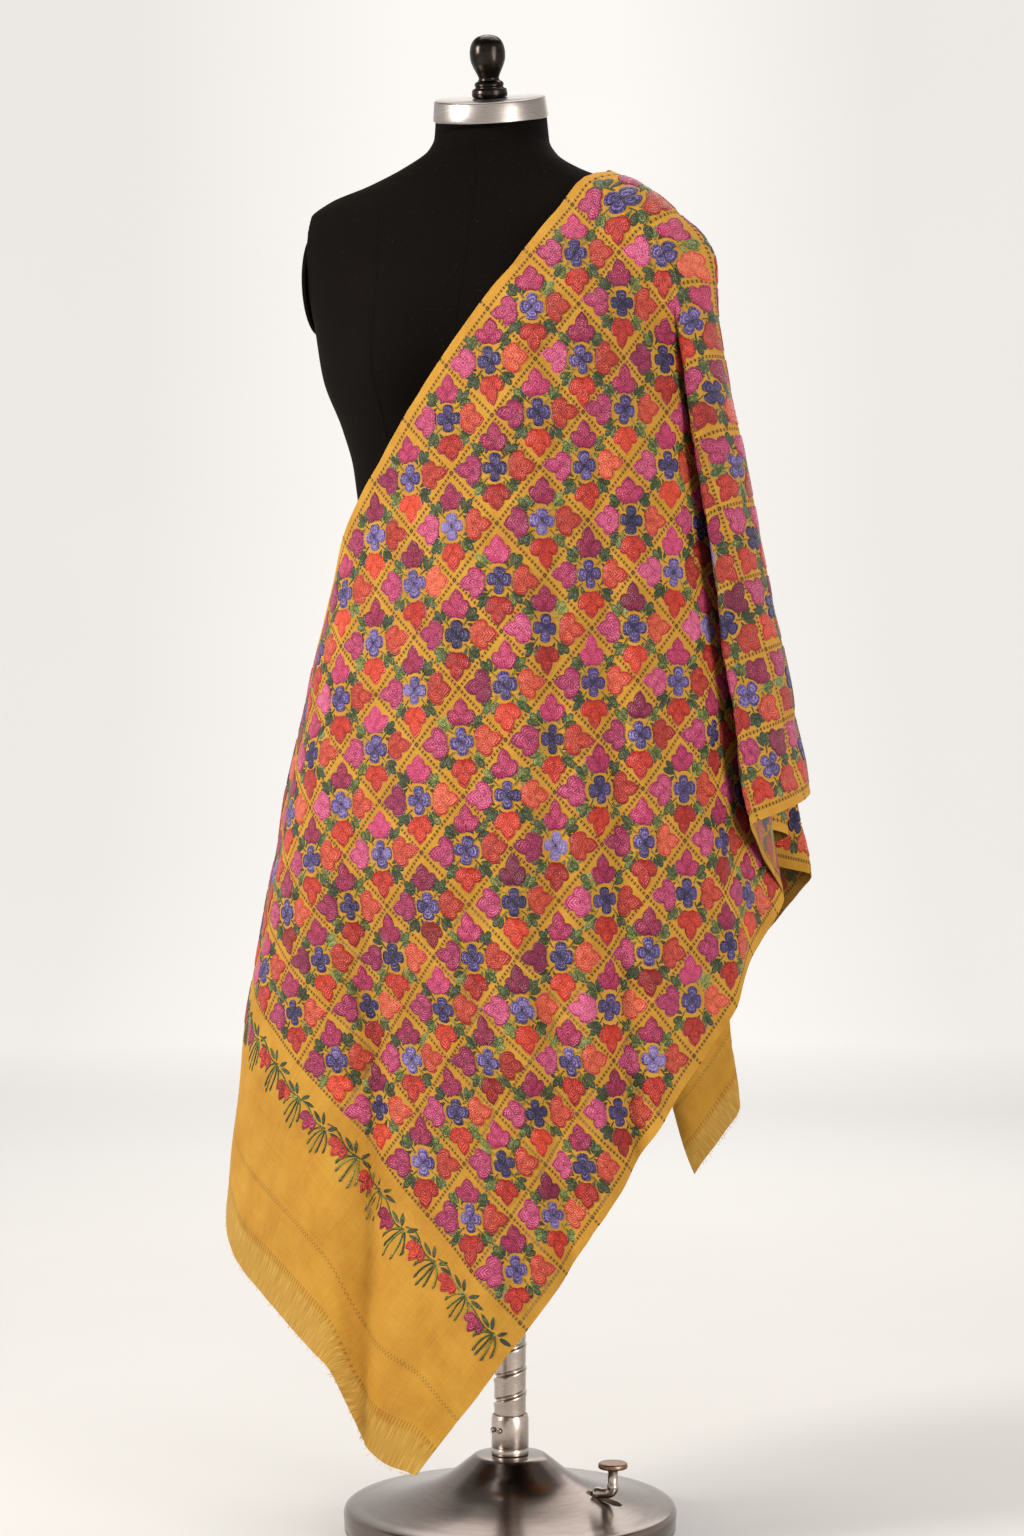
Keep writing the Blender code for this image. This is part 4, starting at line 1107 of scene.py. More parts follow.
class Threads:
    """The stitching of one colour: points over the flat cloth, faces, stitch coordinates and tones."""

    def __init__(self, name):
        self.name = name
        self.points, self.faces, self.uv, self.tones, self.sizes, self.flat = [], [], [], [], [], []
        self.count = 0

    def add(self, points, tones, *groups):
        """Adds points (many, each, 3) with tones, and groups of one pad's faces with coordinates."""
        many, each = points.shape[:2]
        start = (self.count + np.arange(many) * each)[:, None, None]
        for faces, uv in groups:
            self.faces.append((faces[None] + start).ravel())
            self.sizes.append(np.full(many * len(faces), faces.shape[1], np.int32))
            self.uv.append(uv.reshape(-1, 2))
        self.points.append(points.reshape(-1, 3))
        self.tones.append(tones.ravel())
        self.count += many * each

    def build(self, finish):
        flat = np.concatenate(self.points)
        obj = fast_mesh(self.name, on_cloth(*flat.T), np.concatenate(self.faces),
                        uv=np.concatenate(self.uv), sizes=np.concatenate(self.sizes))
        tone = obj.data.attributes.new("tone", "FLOAT", "POINT")
        tone.data.foreach_set("value", np.clip(np.concatenate(self.tones), 0, 1).astype(np.float32))
        finish.cover(obj)
        tell(obj)
        return obj


threads = {name: Threads(name + "_threads") for name in DYES}
print("thread colours", list(threads))

# %% [markdown]
# A pad is its outline drawn again and again, smaller and smaller toward a middle point, each ring at its own
# height. Subdivision would round off the ridges of the stitch rows, which are what catches the light, so the
# rings follow them. A leaf is lower than a flower and lies under its edge.

# %% Pads of stitches
ROWS = ((1.00, 0.0000), (0.92, 0.0009), (0.72, 0.0006), (0.48, 0.0010))  # rings of a flower: size, height
LEAF_ROWS = ((1.00, 0.0000), (0.80, 0.0005))
MIDDLE_SINKS = 0.0002  # how far the middle of a pad lies below its last ring
RING_SHADES = np.array([-0.24, -0.15, 0.05, 0.11, -0.02])  # tone made darker at a pad's rim and lighter further in, ring by ring
TONE_SPREAD = 0.05  # chance difference in dye between two pads of one skein
BED = 0.0005  # top of the cloth above the net
RIM_SUNK = 0.0004  # how far the rim of stitching is drawn into the cloth


def stray_tones(tone, many, each):
    """The tone of every point of many pads, each pad a little off."""
    return np.repeat((tone + CHANCE.normal(0, TONE_SPREAD, many))[:, None], each, 1)


def stitch_places(faces, n, round_it, deep, rows):
    """Stitch coordinates of every face corner: metres around the pad and in from its edge."""
    ring = np.minimum(faces // n, len(rows))
    at_middle = ring == len(rows)
    step = np.where(at_middle, 0, faces % n).astype(float)
    wrap = (step.max(1) - step.min(1) > n / 2)[:, None] & (step < n / 2) & ~at_middle
    step = np.where(at_middle, np.nan, step + np.where(wrap, n, 0))
    step = np.where(at_middle, np.nanmean(step, 1)[:, None], step)
    sizes = np.array([size for size, _ in rows] + [0.0])[ring]
    u = step[None] / n * round_it[:, None, None]
    return np.stack([u, (1 - sizes)[None] * deep[:, None, None]], -1)


def pads(colour, outline, centre, tone, rows=ROWS):
    """Raised pads: outline is (many, around, 2) on the flat cloth, and its rings shrink to centre."""
    many, n = outline.shape[:2]
    threads[colour].flat.append((outline, centre, tone))
    rings = [centre[:, None] + (outline - centre[:, None]) * size for size, _ in rows] + [centre[:, None]]
    highs = [BED - RIM_SUNK] + [BED + high for _, high in rows[1:]] + [BED + rows[-1][1] - MIDDLE_SINKS]
    points = np.concatenate([np.concatenate([ring, np.full((*ring.shape[:2], 1), high)], -1)
                             for ring, high in zip(rings, highs)], 1)
    deep = np.linalg.norm(outline - centre[:, None], axis=-1).mean(1) * SQUARE
    round_it = np.linalg.norm(np.diff(outline, axis=1), axis=-1).sum(1) * SQUARE
    shades = np.concatenate([np.full(n, shade) for shade in RING_SHADES[:len(rows)]] + [RING_SHADES[-1:]])
    last = (len(rows) - 1) * n
    caps = np.column_stack([np.full(n, last + n), last + np.arange(n), last + (np.arange(n) + 1) % n])
    groups = [(faces, stitch_places(faces, n, round_it, deep, rows))
              for faces in (grid_faces(len(rows), n, closed=True), caps)]
    threads[colour].add(points, stray_tones(tone, many, points.shape[1]) + shades, *groups)


print("stitch rows", len(ROWS))

# %% [markdown]
# Petals, buds and leaves are all one shape: a drop from a base to a tip, fullest where blunt and sharp say. The
# big flowers have three lobes and a pointed tip. Half of their outline is a table, and every flower is turned and
# swollen by its own chance, so that none looks stamped.

# %% Petals and leaves
AROUND = {"petal": 12, "bud": 12, "leaf": 10}  # points around a drop
DROP_MIDDLE = {"petal": 0.22, "bud": 0.30, "leaf": 0.45}  # where its rings shrink to, in its length


def lobes(colour, kind, base, tip, half, tone, blunt=0.6, sharp=1.0):
    """Drops from base to tip (s, t), half wide at their fullest, pointed when sharp is 1 or more."""
    n, many = AROUND[kind], len(base)
    turn = 2 * pi * (np.arange(n) + 0.5) / n
    ahead = (1 - np.cos(turn)) / 2
    most = blunt / (blunt + sharp)
    width = ahead ** blunt * (1 - ahead) ** sharp / (most ** blunt * (1 - most) ** sharp) * np.sign(np.sin(turn))
    axis = tip - base
    side = sideways(axis) / np.linalg.norm(axis, axis=1)[:, None]
    half = half * CHANCE.uniform(0.88, 1.12, many)
    outline = (base[:, None] + axis[:, None] * ahead[None, :, None]
               + side[:, None] * (width[None, :] * half[:, None])[..., None])
    pads(colour, outline, base + axis * DROP_MIDDLE[kind], tone, LEAF_ROWS if kind == "leaf" else ROWS)


# %% Three-lobed flowers
# Half of the outline, in shares of the flower's length: ahead from the root to the tip, and aside from its axis.
FLOWER_OUTLINE = table("""
point ahead aside
tip   1.000 0.000
point 0.930 0.070
slope 0.840 0.165
belly 0.740 0.225
neck  0.650 0.240
notch 0.585 0.245
rise  0.600 0.320
brow  0.575 0.405
lobe  0.495 0.465
under 0.360 0.480
hip   0.210 0.430
heel  0.080 0.310
foot  0.000 0.165
root  0.035 0.000
""")
FLOWER_MIDDLE = 0.27  # where its rings shrink to, along its length
OUTLINE_WIDE = 0.92  # width of the table's outline


def flowers(colour, root, way, reach, wide, tone):
    """Flowers from root toward way, reach long and wide across."""
    ahead, aside = FLOWER_OUTLINE["ahead"], FLOWER_OUTLINE["aside"]
    ahead, aside = np.append(ahead, ahead[-2:0:-1]), np.append(aside, -aside[-2:0:-1])
    turn, many = np.arctan2(aside, ahead - 0.4), len(root)
    swell = (1 + 0.05 * np.sin(3 * turn[None] + CHANCE.uniform(0, 6, many)[:, None])
             + 0.04 * np.sin(2 * turn[None] + CHANCE.uniform(0, 6, many)[:, None]))
    side = sideways(way)
    out = FLOWER_MIDDLE + (ahead - FLOWER_MIDDLE)[None] * swell
    over = aside[None] * swell * (wide / OUTLINE_WIDE)[:, None]
    outline = (root[:, None] + way[:, None] * (out * reach[:, None])[..., None]
               + side[:, None] * over[..., None])
    pads(colour, outline, root + way * (reach * FLOWER_MIDDLE)[:, None], tone)


print("rows of the outline", len(FLOWER_OUTLINE["point"]))

# %% Stems
STEM_SPOTS = 5  # points along a stem
STEM_SECTION = ((-1, -RIM_SUNK), (-0.45, 0.0008), (0.45, 0.0008), (1, -RIM_SUNK))  # aside, above the cloth


def stems(colour, start, end, half, tone, bend=0.0):
    """Narrow raised lines from start to end (s, t), bending sideways by bend of their length."""
    many, share = len(start), np.linspace(0, 1, STEM_SPOTS)
    axis = end - start
    across = sideways(axis)
    middle = (start[:, None] + axis[:, None] * share[None, :, None]
              + across[:, None] * np.sin(pi * share)[None, :, None] * np.reshape(bend, (-1, 1, 1)))
    side = across / np.linalg.norm(across, axis=1)[:, None]
    strips = [np.concatenate([middle + side[:, None] * off * half,
                              np.full((many, STEM_SPOTS, 1), BED + high)], -1) for off, high in STEM_SECTION]
    points = np.stack(strips, 1).reshape(many, -1, 3)
    faces = grid_faces(len(STEM_SECTION), STEM_SPOTS)
    length = np.linalg.norm(axis, axis=1) * SQUARE
    u = (faces % STEM_SPOTS)[None] / (STEM_SPOTS - 1) * length[:, None, None]
    v = np.broadcast_to((faces // STEM_SPOTS)[None] * half * SQUARE * 0.6, (many, *faces.shape))
    threads[colour].add(points, stray_tones(tone, many, points.shape[1]), (faces, np.stack([u, v], -1)))


# %% [markdown]
# A square carries a cross of flowers: a small four-petal bloom in the middle, a three-lobed flower in each
# corner, and between them a sprig of three leaves toward each side. Because the stole hangs cornerwise, the
# corner flowers stand above, below and beside the middle. Four colours keep their places in every square, while
# the dye changes a little from skein to skein.

# %% Squares of flowers
UP, RIGHT = np.array([-0.5, -0.5]), np.array([-0.5, 0.5])  # half diagonals of a square as (s, t)
square_s, square_t = (a.ravel() for a in np.meshgrid(
    np.arange(BACK_SQUARES + 0.5, FRONT_SQUARES), np.arange(ACROSS) + 0.5, indexing="ij"))
SQUARES = len(square_s)


def spot(out, over, way, side):
    """Points out along way and over along side from the middles of the squares."""
    return middles + np.multiply.outer(out, way) + np.multiply.outer(over, side)


def jitter(size, count=SQUARES):
    return CHANCE.normal(0, size, count)


middles = np.column_stack([square_s, square_t])
middles = middles + np.column_stack([jitter(0.012), jitter(0.012)])
print("squares", SQUARES)

# %% Flowers of the squares
# The way each colour's flower grows from the middle, and how far its tip reaches, in half diagonals.
CORNERS = {"magenta": (UP, 0.87), "orchid": (-RIGHT, 0.92), "coral": (RIGHT, 0.92), "red": (-UP, 0.87)}
FLOWER_ROOT, FLOWER_WIDE = 0.295, 0.58
for name, (way, tips) in CORNERS.items():
    side = sideways(way)
    skein = CHANCE.normal(0.5, 0.14, SQUARES)
    reach, lean = tips + jitter(0.02), jitter(0.06)
    root = spot(FLOWER_ROOT + jitter(0.010), lean * 0.1, way, side)
    half = np.linalg.norm(way)
    flowers(name, root, unit(way + lean[:, None] * side), (reach - FLOWER_ROOT) * half,
            (FLOWER_WIDE + jitter(0.02)) * half, skein)

skein = CHANCE.normal(0.5, 0.17, SQUARES)
turned_by = jitter(0.10)  # radians that each small bloom is turned by
for quarter in range(4):
    a = (turned_by + quarter * pi / 2)[:, None]
    way = np.cos(a) * UP + np.sin(a) * RIGHT
    tip = middles + way * (0.275 + jitter(0.012))[:, None]
    lobes("purple", "petal", middles + way * 0.015, tip, 0.092, skein + jitter(0.06), blunt=0.75, sharp=0.42)
way = np.cos(turned_by)[:, None] * UP + np.sin(turned_by)[:, None] * RIGHT
lobes("green", "leaf", middles - way * 0.045, middles + way * 0.045, 0.030, 0.12 + jitter(0.05), 0.7, 0.7)
print("spots of purple", threads["purple"].count)

# %% Leaves and stems
# Leaves of a cluster: how far aside and out their tips lie, where they start, and half their width.
CLUSTER = ((0.225, 0.290, 0.225, 0.034), (-0.225, 0.290, 0.225, 0.034), (0.0, 0.495, 0.290, 0.058),
           (-0.115, 0.435, 0.255, 0.050), (0.115, 0.435, 0.255, 0.050))
for way in np.array([[1.0, 0.0], [-1.0, 0.0], [0.0, 1.0], [0.0, -1.0]]):
    side = sideways(way)
    skein = CHANCE.normal(0.48, 0.16, SQUARES)
    sway = jitter(0.02)
    stems("green", spot(np.full(SQUARES, 0.17), 0 * sway, way, side),
          spot(np.full(SQUARES, 0.33), sway, way, side), 0.010, skein - 0.1, jitter(0.06))
    for over, out, root, half in CLUSTER:
        base = spot(root + jitter(0.008), sway + over * 0.12, way, side)
        tip = spot(out + jitter(0.012), sway + over * (1 + jitter(0.10)), way, side)
        lobes("green", "leaf", base, tip, half, skein + jitter(0.16), 0.7, 0.5)
print("leaves", 4 * len(CLUSTER) * SQUARES)

# %% [markdown]
# A vine runs across the plain cloth beyond the last squares at both ends: small red and magenta blooms with tufts
# of needle leaves between them, on a stem that waves along the line.

# %% Vine borders
VINE_OFF, VINE_STEP = 0.38, 0.64  # squares beyond the last square, and between two blooms
BLOOM = ((-0.15, 0.16), (0.15, 0.16), (0.0, 0.25))  # tips of a bloom's petals: aside and out
NEEDLES = ((-0.20, 0.22), (-0.11, 0.33), (-0.02, 0.38), (0.08, 0.34), (0.17, 0.24))
TUFT_LEAVES = ((-0.32, 0.06), (-0.16, 0.15), (0.16, 0.15), (0.32, 0.05))


def vine(line, out):
    """Vine along t at s = line, growing toward out (1 the front end, -1 the back)."""
    spots_t = np.arange(0.15, ACROSS, VINE_STEP)
    many = len(spots_t)
    bloom = np.column_stack([line + out * (VINE_OFF + 0.05 * np.sin(7.0 * spots_t)), spots_t])
    grow, side = np.array([out * 1.0, 0.0]), np.array([0.0, 1.0])
    magenta = np.arange(many) % 3 == 1
    for name, some in (("red", ~magenta), ("magenta", magenta)):
        for over, reach in BLOOM:
            base = bloom[some] + np.array([0.0, over * 0.25]) - grow * 0.02
            tip = bloom[some] + grow * reach + side * over
            lobes(name, "bud", base, tip, 0.075, 0.46 + jitter(0.1, some.sum()), 0.75, 0.8)
    tuft = bloom + np.array([out * -0.02, VINE_STEP / 2])
    for over, reach in NEEDLES:
        tip = tuft + grow * (reach + jitter(0.02, many))[:, None] + side * (over + jitter(0.015, many))[:, None]
        stems("green", tuft + side * over * 0.15, tip, 0.016, 0.42 + jitter(0.16, many),
              over * 0.6 + jitter(0.03, many))
        lobes("green", "leaf", tip - grow * 0.05, tip + grow * 0.05, 0.020, 0.30 + jitter(0.12, many))
    root = tuft - grow * 0.02
    stem = bloom - grow * 0.03
    for start, end, bend in ((root, stem, 0.14), (stem, bloom + (tuft - bloom) * [1, -1] - grow * 0.02, -0.14)):
        stems("green", start, end, 0.013, 0.34 + jitter(0.08, many), bend + jitter(0.02, many))
    for over, reach in TUFT_LEAVES:
        tip = root + side * over - grow * (reach + jitter(0.01, many))[:, None]
        lobes("green", "leaf", root + side * over * 0.3, tip, 0.034, 0.40 + jitter(0.14, many), 0.7, 0.8)


vine(FRONT_SQUARES, 1)
vine(BACK_SQUARES, -1)
print("spots of green", threads["green"].count)

# %% [markdown]
# The dye of a thread runs from dark to light with the tone each pad carries. The stitch coordinates draw the
# rows, a good two millimetres apart, and the links of the chain along them: they raise a bump, and they lighten
# the colour on each row as painted highlight and darken it between rows as painted shade. Rayon and silk threads
# shine, so the surface is only half rough, with a faint sheen. Fine noise breaks both up into single threads.

# %% Thread finishes
ROW_PITCH, LINK_PITCH = 0.0023, 0.0030
DYE_PLACES = (0.20, 0.55, 0.91)  # dark, middle and light dye on the scale of lightness


def thread_finish(name, dyes):
    made = Finish(name, Roughness=0.5, Sheen_Weight=0.10, Sheen_Roughness=0.35)
    tone = made.node("Attribute", {"attribute_name": "tone"}).outputs["Fac"]
    u, v = made.node("SeparateXYZ", Vector=made.cut()).outputs[:2]
    drift = made.times(made.noise(made.place(), 90.0, 2.0), 0.0030)
    rows_in = made.times(made.plus(v, drift), pi / ROW_PITCH)
    row = made.minus(1.0, made.math("ABSOLUTE", made.math("SINE", rows_in)))
    link = made.math("SINE", made.plus(made.times(u, 2 * pi / LINK_PITCH),
                                       made.times(v, 1.3 / ROW_PITCH)))
    stitch = made.plus(row, made.times(link, 0.22))
    fleck = made.noise(made.place(), 260.0, 4.0)
    # Painted highlight on the stitch rows and links, painted shade between them.
    lit = made.plus(tone, made.times(made.minus(stitch, 0.38), 0.52))
    lit = made.plus(lit, made.times(made.minus(fleck, 0.5), 0.90))
    made.colour(made.ramp(lit, [(place, tint(*dye)) for place, dye in zip(DYE_PLACES, dyes)]))
    made.rough(made.plus(0.32, made.times(fleck, 0.25)))
    made.bump(stitch, 0.0006, 0.9)
    return made


thread_pieces = [threads[name].build(thread_finish(name + "_thread", dyes)) for name, dyes in DYES.items()]

# %% [markdown]
# The needle also leaves its thread on the wrong side, flat and duller. It shows where the cloth turns its back:
# the same shapes again as thin patches just under the cloth.

# %% Reverse of the stitches
UNDER = (-CLOTH_THICK / 2 - 0.0004, -CLOTH_THICK / 2 - 0.0007)  # rim and middle of a patch
DULL, DULL_SHARE = np.array([128, 88, 44]), 0.30


def reverse_patches():
    """Points, triangles, tones and dye numbers of the patches, with every second spot of an outline."""
    points, faces, tones, dyes, count = [], [], [], [], 0
    for number, name in enumerate(DYES):
        for outline, centre, tone in threads[name].flat:
            many, n = len(outline), outline.shape[1] // 2
            rim = np.concatenate([outline[:, ::2][:, :n], centre[:, None]], 1)
            highs = np.append(np.full(n, UNDER[0]), UNDER[1])
            highs = np.broadcast_to(highs[:, None], (many, n + 1, 1))
            points.append(np.concatenate([rim, highs], -1).reshape(-1, 3))
            fan_out = np.column_stack([(np.arange(n) + 1) % n, np.arange(n), np.full(n, n)])
            faces.append((fan_out[None] + count + np.arange(many)[:, None, None] * (n + 1)).reshape(-1, 3))
            tones.append(np.repeat(tone + np.zeros(many), n + 1))
            dyes.append(np.full(many * n, number, np.int32))
            count += many * (n + 1)
    return [np.concatenate(part) for part in (points, faces, tones, dyes)]


patch_points, patch_faces, patch_tones, patch_dyes = reverse_patches()
reverse = fast_mesh("reverse_threads", on_cloth(*patch_points.T),
                    patch_faces, uv=patch_points[patch_faces.ravel(), 1::-1] * SQUARE)
reverse.data.attributes.new("tone", "FLOAT", "POINT").data.foreach_set("value", patch_tones.astype(np.float32))
for name, dyes in DYES.items():
    dull = [tuple(np.array(dye) * (1 - DULL_SHARE) + DULL * DULL_SHARE) for dye in dyes]
    thread_finish(name + "_reverse_thread", dull).cover(reverse)
reverse.data.polygons.foreach_set("material_index", patch_dyes)
thread_pieces.append(reverse)
print("reverse patches", len(patch_faces))

# %% [markdown]
# ## The ochre cloth
# The ground is a fine soft wool in plain weave, brushed so that a short nap blurs the threads. An image of cloth
# would suit one distance only, so two sets of waves cross in the coordinates of the cut, half a millimetre apart,
# and slow noise along the warp gives the streaks of hand-dyed yarn. Beyond the last drawn threads the bare warp
# of the ends shines a paler gold.

# %% Painted shade of the holes
YARN = 0.00055  # from one yarn to the next
RIM_WIDE, RIM_DARK = 0.17, 0.92  # half the width of the painted shade round a hole, in pitches, and how dark it is
ROW_DARK, BORDER_DARK = 0.26, 0.45  # share of that painted shade between the holes, and at the plain ends
HALF_RUN = (FRONT_SQUARES - BACK_SQUARES) / 2
MIDDLE_RUN = (FRONT_SQUARES + BACK_SQUARES) / 2


def on_pitch(made, run):
    """1 beside each hole of a row that runs along one way, 0 between them."""
    share = made.minus(made.math("FRACT", run), HOLE_HALF + PITCH * (1 - OPEN / 2))
    off = made.math("ABSOLUTE", made.math("WRAP", made.math("DIVIDE", share, PITCH), 0.5, -0.5))
    return made.math("LESS_THAN", off, RIM_WIDE)


def painted_hole_shade(made, run, over):
    """Painted shade at the edges of the holes in the rows that run along one way, 0 to 1."""
    off = made.math("ABSOLUTE", made.minus(over, made.math("ROUND", over)))
    share = made.math("MULTIPLY_ADD", on_pitch(made, run), 1 - ROW_DARK, ROW_DARK)
    return made.times(made.math("LESS_THAN", off, HOLE_HALF * 1.30), share)


def painted_row_shade(made, x, y):
    """Painted shade of all rows of drawn threads, where x and y are metres across and along the cut."""
    in_t = made.times(x, 1 / SQUARE)
    in_s = made.math("MULTIPLY_ADD", y, 1 / SQUARE, -FRONT_SQUARES)
    shade = made.math("MAXIMUM", painted_hole_shade(made, in_s, in_t), painted_hole_shade(made, in_t, in_s))
    from_middle = made.math("ABSOLUTE", made.minus(y, MIDDLE_RUN * SQUARE))
    in_squares = made.math("LESS_THAN", from_middle, (HALF_RUN + 2 * HOLE_HALF) * SQUARE)
    shade = made.times(shade, in_squares)
    for line, half, stagger in zip(BORDER_LINES, BORDER_HALVES, (PITCH / 2, 0.0)):
        past_line = made.minus(from_middle, (HALF_RUN + line) * SQUARE)
        on_line = made.math("LESS_THAN", made.math("ABSOLUTE", past_line), half * SQUARE)
        run = made.plus(in_t, made.times(made.math("GREATER_THAN", past_line, 0.0), stagger))
        # Painted shade for the rows of drawn threads at the plain ends, which have no holes.
        rims = made.times(made.times(on_line, on_pitch(made, run)), BORDER_DARK)
        shade = made.math("MAXIMUM", shade, rims)
    return shade


print("yarns across the stole", round((T_ARM - T_NECK) * SQUARE / YARN))

# %% Cloth finish
END_BLEND = 0.006  # metres over which the end's gold comes in


def cloth_finish(name, dark, middle, light):
    made = Finish(name, Roughness=0.85, Sheen_Weight=0.25, Sheen_Roughness=0.4)
    made.skin.inputs["Sheen Tint"].default_value = tint(236, 190, 110)
    flat = made.cut()
    x, y = made.node("SeparateXYZ", Vector=flat).outputs[:2]
    warp, weft = (made.math("SINE", made.times(way, 2 * pi / YARN)) for way in (x, y))
    yarns = made.math("MULTIPLY_ADD", made.times(warp, weft), 0.5, 0.5)
    streak = made.noise(made.stretch(flat, (900.0, 14.0, 1.0)), 1.0, 3.0)
    slub = made.noise(made.stretch(flat, (18.0, 700.0, 1.0)), 1.0, 3.0)
    cloud = made.noise(flat, 22.0, 5.0, 0.6)
    nap = made.noise(made.place(), 1400.0, 3.0, 0.7)
    tone = made.math("MULTIPLY_ADD", streak, 0.16, made.times(slub, 0.12))
    for part, share in ((cloud, 0.40), (nap, 0.18), (yarns, 0.06)):
        tone = made.plus(tone, made.times(part, share))
    base = made.ramp(tone, [(0.30, tint(*dark)), (0.44, tint(*middle)), (0.60, tint(*light))])
    front, back = FRONT_SQUARES + BORDER_LINES[1], BACK_SQUARES - BORDER_LINES[1]
    end = made.math("MAXIMUM", made.between(y, front * SQUARE, front * SQUARE + END_BLEND, 0.0, 1.0),
                    made.between(y, back * SQUARE, back * SQUARE - END_BLEND, 0.0, 1.0))
    fibre = made.noise(made.stretch(flat, (1200.0, 40.0, 1.0)), 1.0, 3.0)
    gold = made.ramp(fibre, [(0.30, tint(146, 98, 20)), (0.5, tint(184, 138, 34)), (0.70, tint(212, 176, 84))])
    # Painted shade, dark brown, round the holes and along the rows of drawn threads.
    base = made.mix(made.times(painted_row_shade(made, x, y), RIM_DARK), base, tint(44, 24, 8))
    made.colour(made.mix(made.times(end, 0.75), base, gold))
    made.rough(made.minus(0.88, made.times(end, 0.25)))
    for height, deep, strength in ((yarns, 0.00012, 0.6), (nap, 0.0003, 0.5), (fibre, 0.0004, 0.35)):
        made.bump(height, deep, strength)
    return made


for name, colours in (("ochre_wool", ((164, 108, 22), (192, 136, 32), (210, 158, 54))),
                      ("ochre_wool_reverse", ((162, 106, 26), (190, 134, 38), (208, 156, 58)))):
    cloth_finish(name, *colours).cover(stole)
thick = stole.modifiers.new("thickness", "SOLIDIFY")
thick.thickness, thick.offset, thick.material_offset = CLOTH_THICK, 0.0, 1
apply_all(stole)
# The cut edges of the holes stay sharp, so that they don't shade the cloth beside them.
stole.data.set_sharp_from_angle(angle=radians(50))
print("cloth finishes", len(stole.data.materials))

# %% [markdown]
# ## Frayed ends
# Where the cloth was torn off, the last weft threads have dropped out and the warp stands as a short uneven
# fringe: thin bent ribbons a few millimetres long, all in one piece.

# %% Fringe
FRINGE_THREADS = 300  # at each end
THREAD_HALF = 0.00022  # half a thread's width


def fringe(line, out):
    """Points and faces of the fringe at s = line, growing toward out."""
    n = FRINGE_THREADS
    t = np.sort(CHANCE.uniform(T_NECK + 0.05, T_ARM - 0.05, n))
    long = CHANCE.gamma(3.0, 0.0007, n).clip(0.0005, 0.0045)
    lean, curl = CHANCE.normal(0, 0.35, n), CHANCE.normal(0, 0.4, n)
    hem = np.full(n, line)
    edge = on_cloth(hem, t)
    out_way = unit(edge - on_cloth(hem - out * 0.2, t))
    along = unit(on_cloth(hem, t + 0.05) - on_cloth(hem, t - 0.05))
    lift = np.cross(out_way, along)
    parts = []
    for share in (-0.25, 0.2, 0.6, 1.0):
        middle = (edge + out_way * (long * share)[:, None] + along * (long * lean * share)[:, None]
                  + lift * (long * curl * share ** 2)[:, None])
        parts.append(np.stack([middle - along * THREAD_HALF, middle + along * THREAD_HALF], 1))
    points = np.stack(parts, 1).reshape(n, 8, 3)
    faces = grid_faces(4, 2)[None] + (np.arange(n) * 8)[:, None, None]
    return points.reshape(-1, 3), faces.reshape(-1, 4)


frayed = joined("frayed_ends", [fringe(S_FRONT, 1), fringe(S_BACK, -1)])
yarn = Finish("loose_yarn", Roughness=0.8, Sheen_Weight=0.3)
yarn.colour(yarn.ramp(yarn.noise(yarn.place(), 300.0), [(0.35, tint(186, 132, 52)), (0.65, tint(218, 178, 104))]))
yarn.bump(yarn.noise(yarn.place(), 3000.0), 0.0001)
yarn.cover(frayed)
tell(frayed)

# %% [markdown]
# ## The body of the form
# The torso is skinned through many level rings of the same function that kept the cloth off it. Its covering is
# stretched jersey, sewn from panels: the seams run down the middle of the front and back, over the bust on both
# sides and down the flanks.

# %% The torso
FORM_LOW = 0.715  # level of the form's lower edge
GAP = 0.0004  # clearance at a fitted joint
PLATE_AT = 0.203  # where the torso is cut off for the arm plates
NECK_TOP = np.array([-0.0195, -0.055, 1.4680])
NECK_UP = unit(np.array([-0.052, -0.300, 0.950]))  # the neck is cut off leaning forward
NECK_R = 0.0575


def body_ring(z, turns):
    """Points round the torso at level z, cut off flat where an arm plate goes."""
    ring = torso_ring(z, turns)
    u = ring[:, :2] @ LEFT
    spare = np.clip(np.abs(u) - PLATE_AT, 0, None) * np.sign(u)
    ring[:, :2] -= spare[:, None] * LEFT
    return ring


def neck_ring(turns, start):
    """Ring in the slanted plane under the cap."""
    spin = start - turns
    flat = np.column_stack([np.cos(spin), np.sin(spin), np.zeros(len(spin))]) * NECK_R
    flat[:, 2] = -(flat[:, :2] @ NECK_UP[:2]) / NECK_UP[2]
    return NECK_TOP + flat


turns = full_turn(220)
levels = [FORM_LOW, FORM_LOW + 0.0015, *np.linspace(0.72, 1.30, 90), *np.linspace(1.304, 1.449, 70)]
rings = [body_ring(z, turns) for z in levels]
neck = neck_ring(turns, np.arctan2(*(rings[-1][0, :2] - NECK_TOP[:2])[::-1]))
rings += [rings[-1] + (neck - rings[-1]) * share for share in (0.2, 0.4, 0.6, 0.8, 1.0)]
rings[0] = rings[0] - (rings[0] - rings[0].mean(0)) * 0.012
body = tube("form_torso", rings, inward=True)
tell(body)

# %% [markdown]
# A seam in jersey is a pair of low welts with a furrow between them. A bump could fake it, but the edge of the
# form would show none, so each is a thin ribbon laid on the skin: a sideways distance for each level, in front or
# behind.

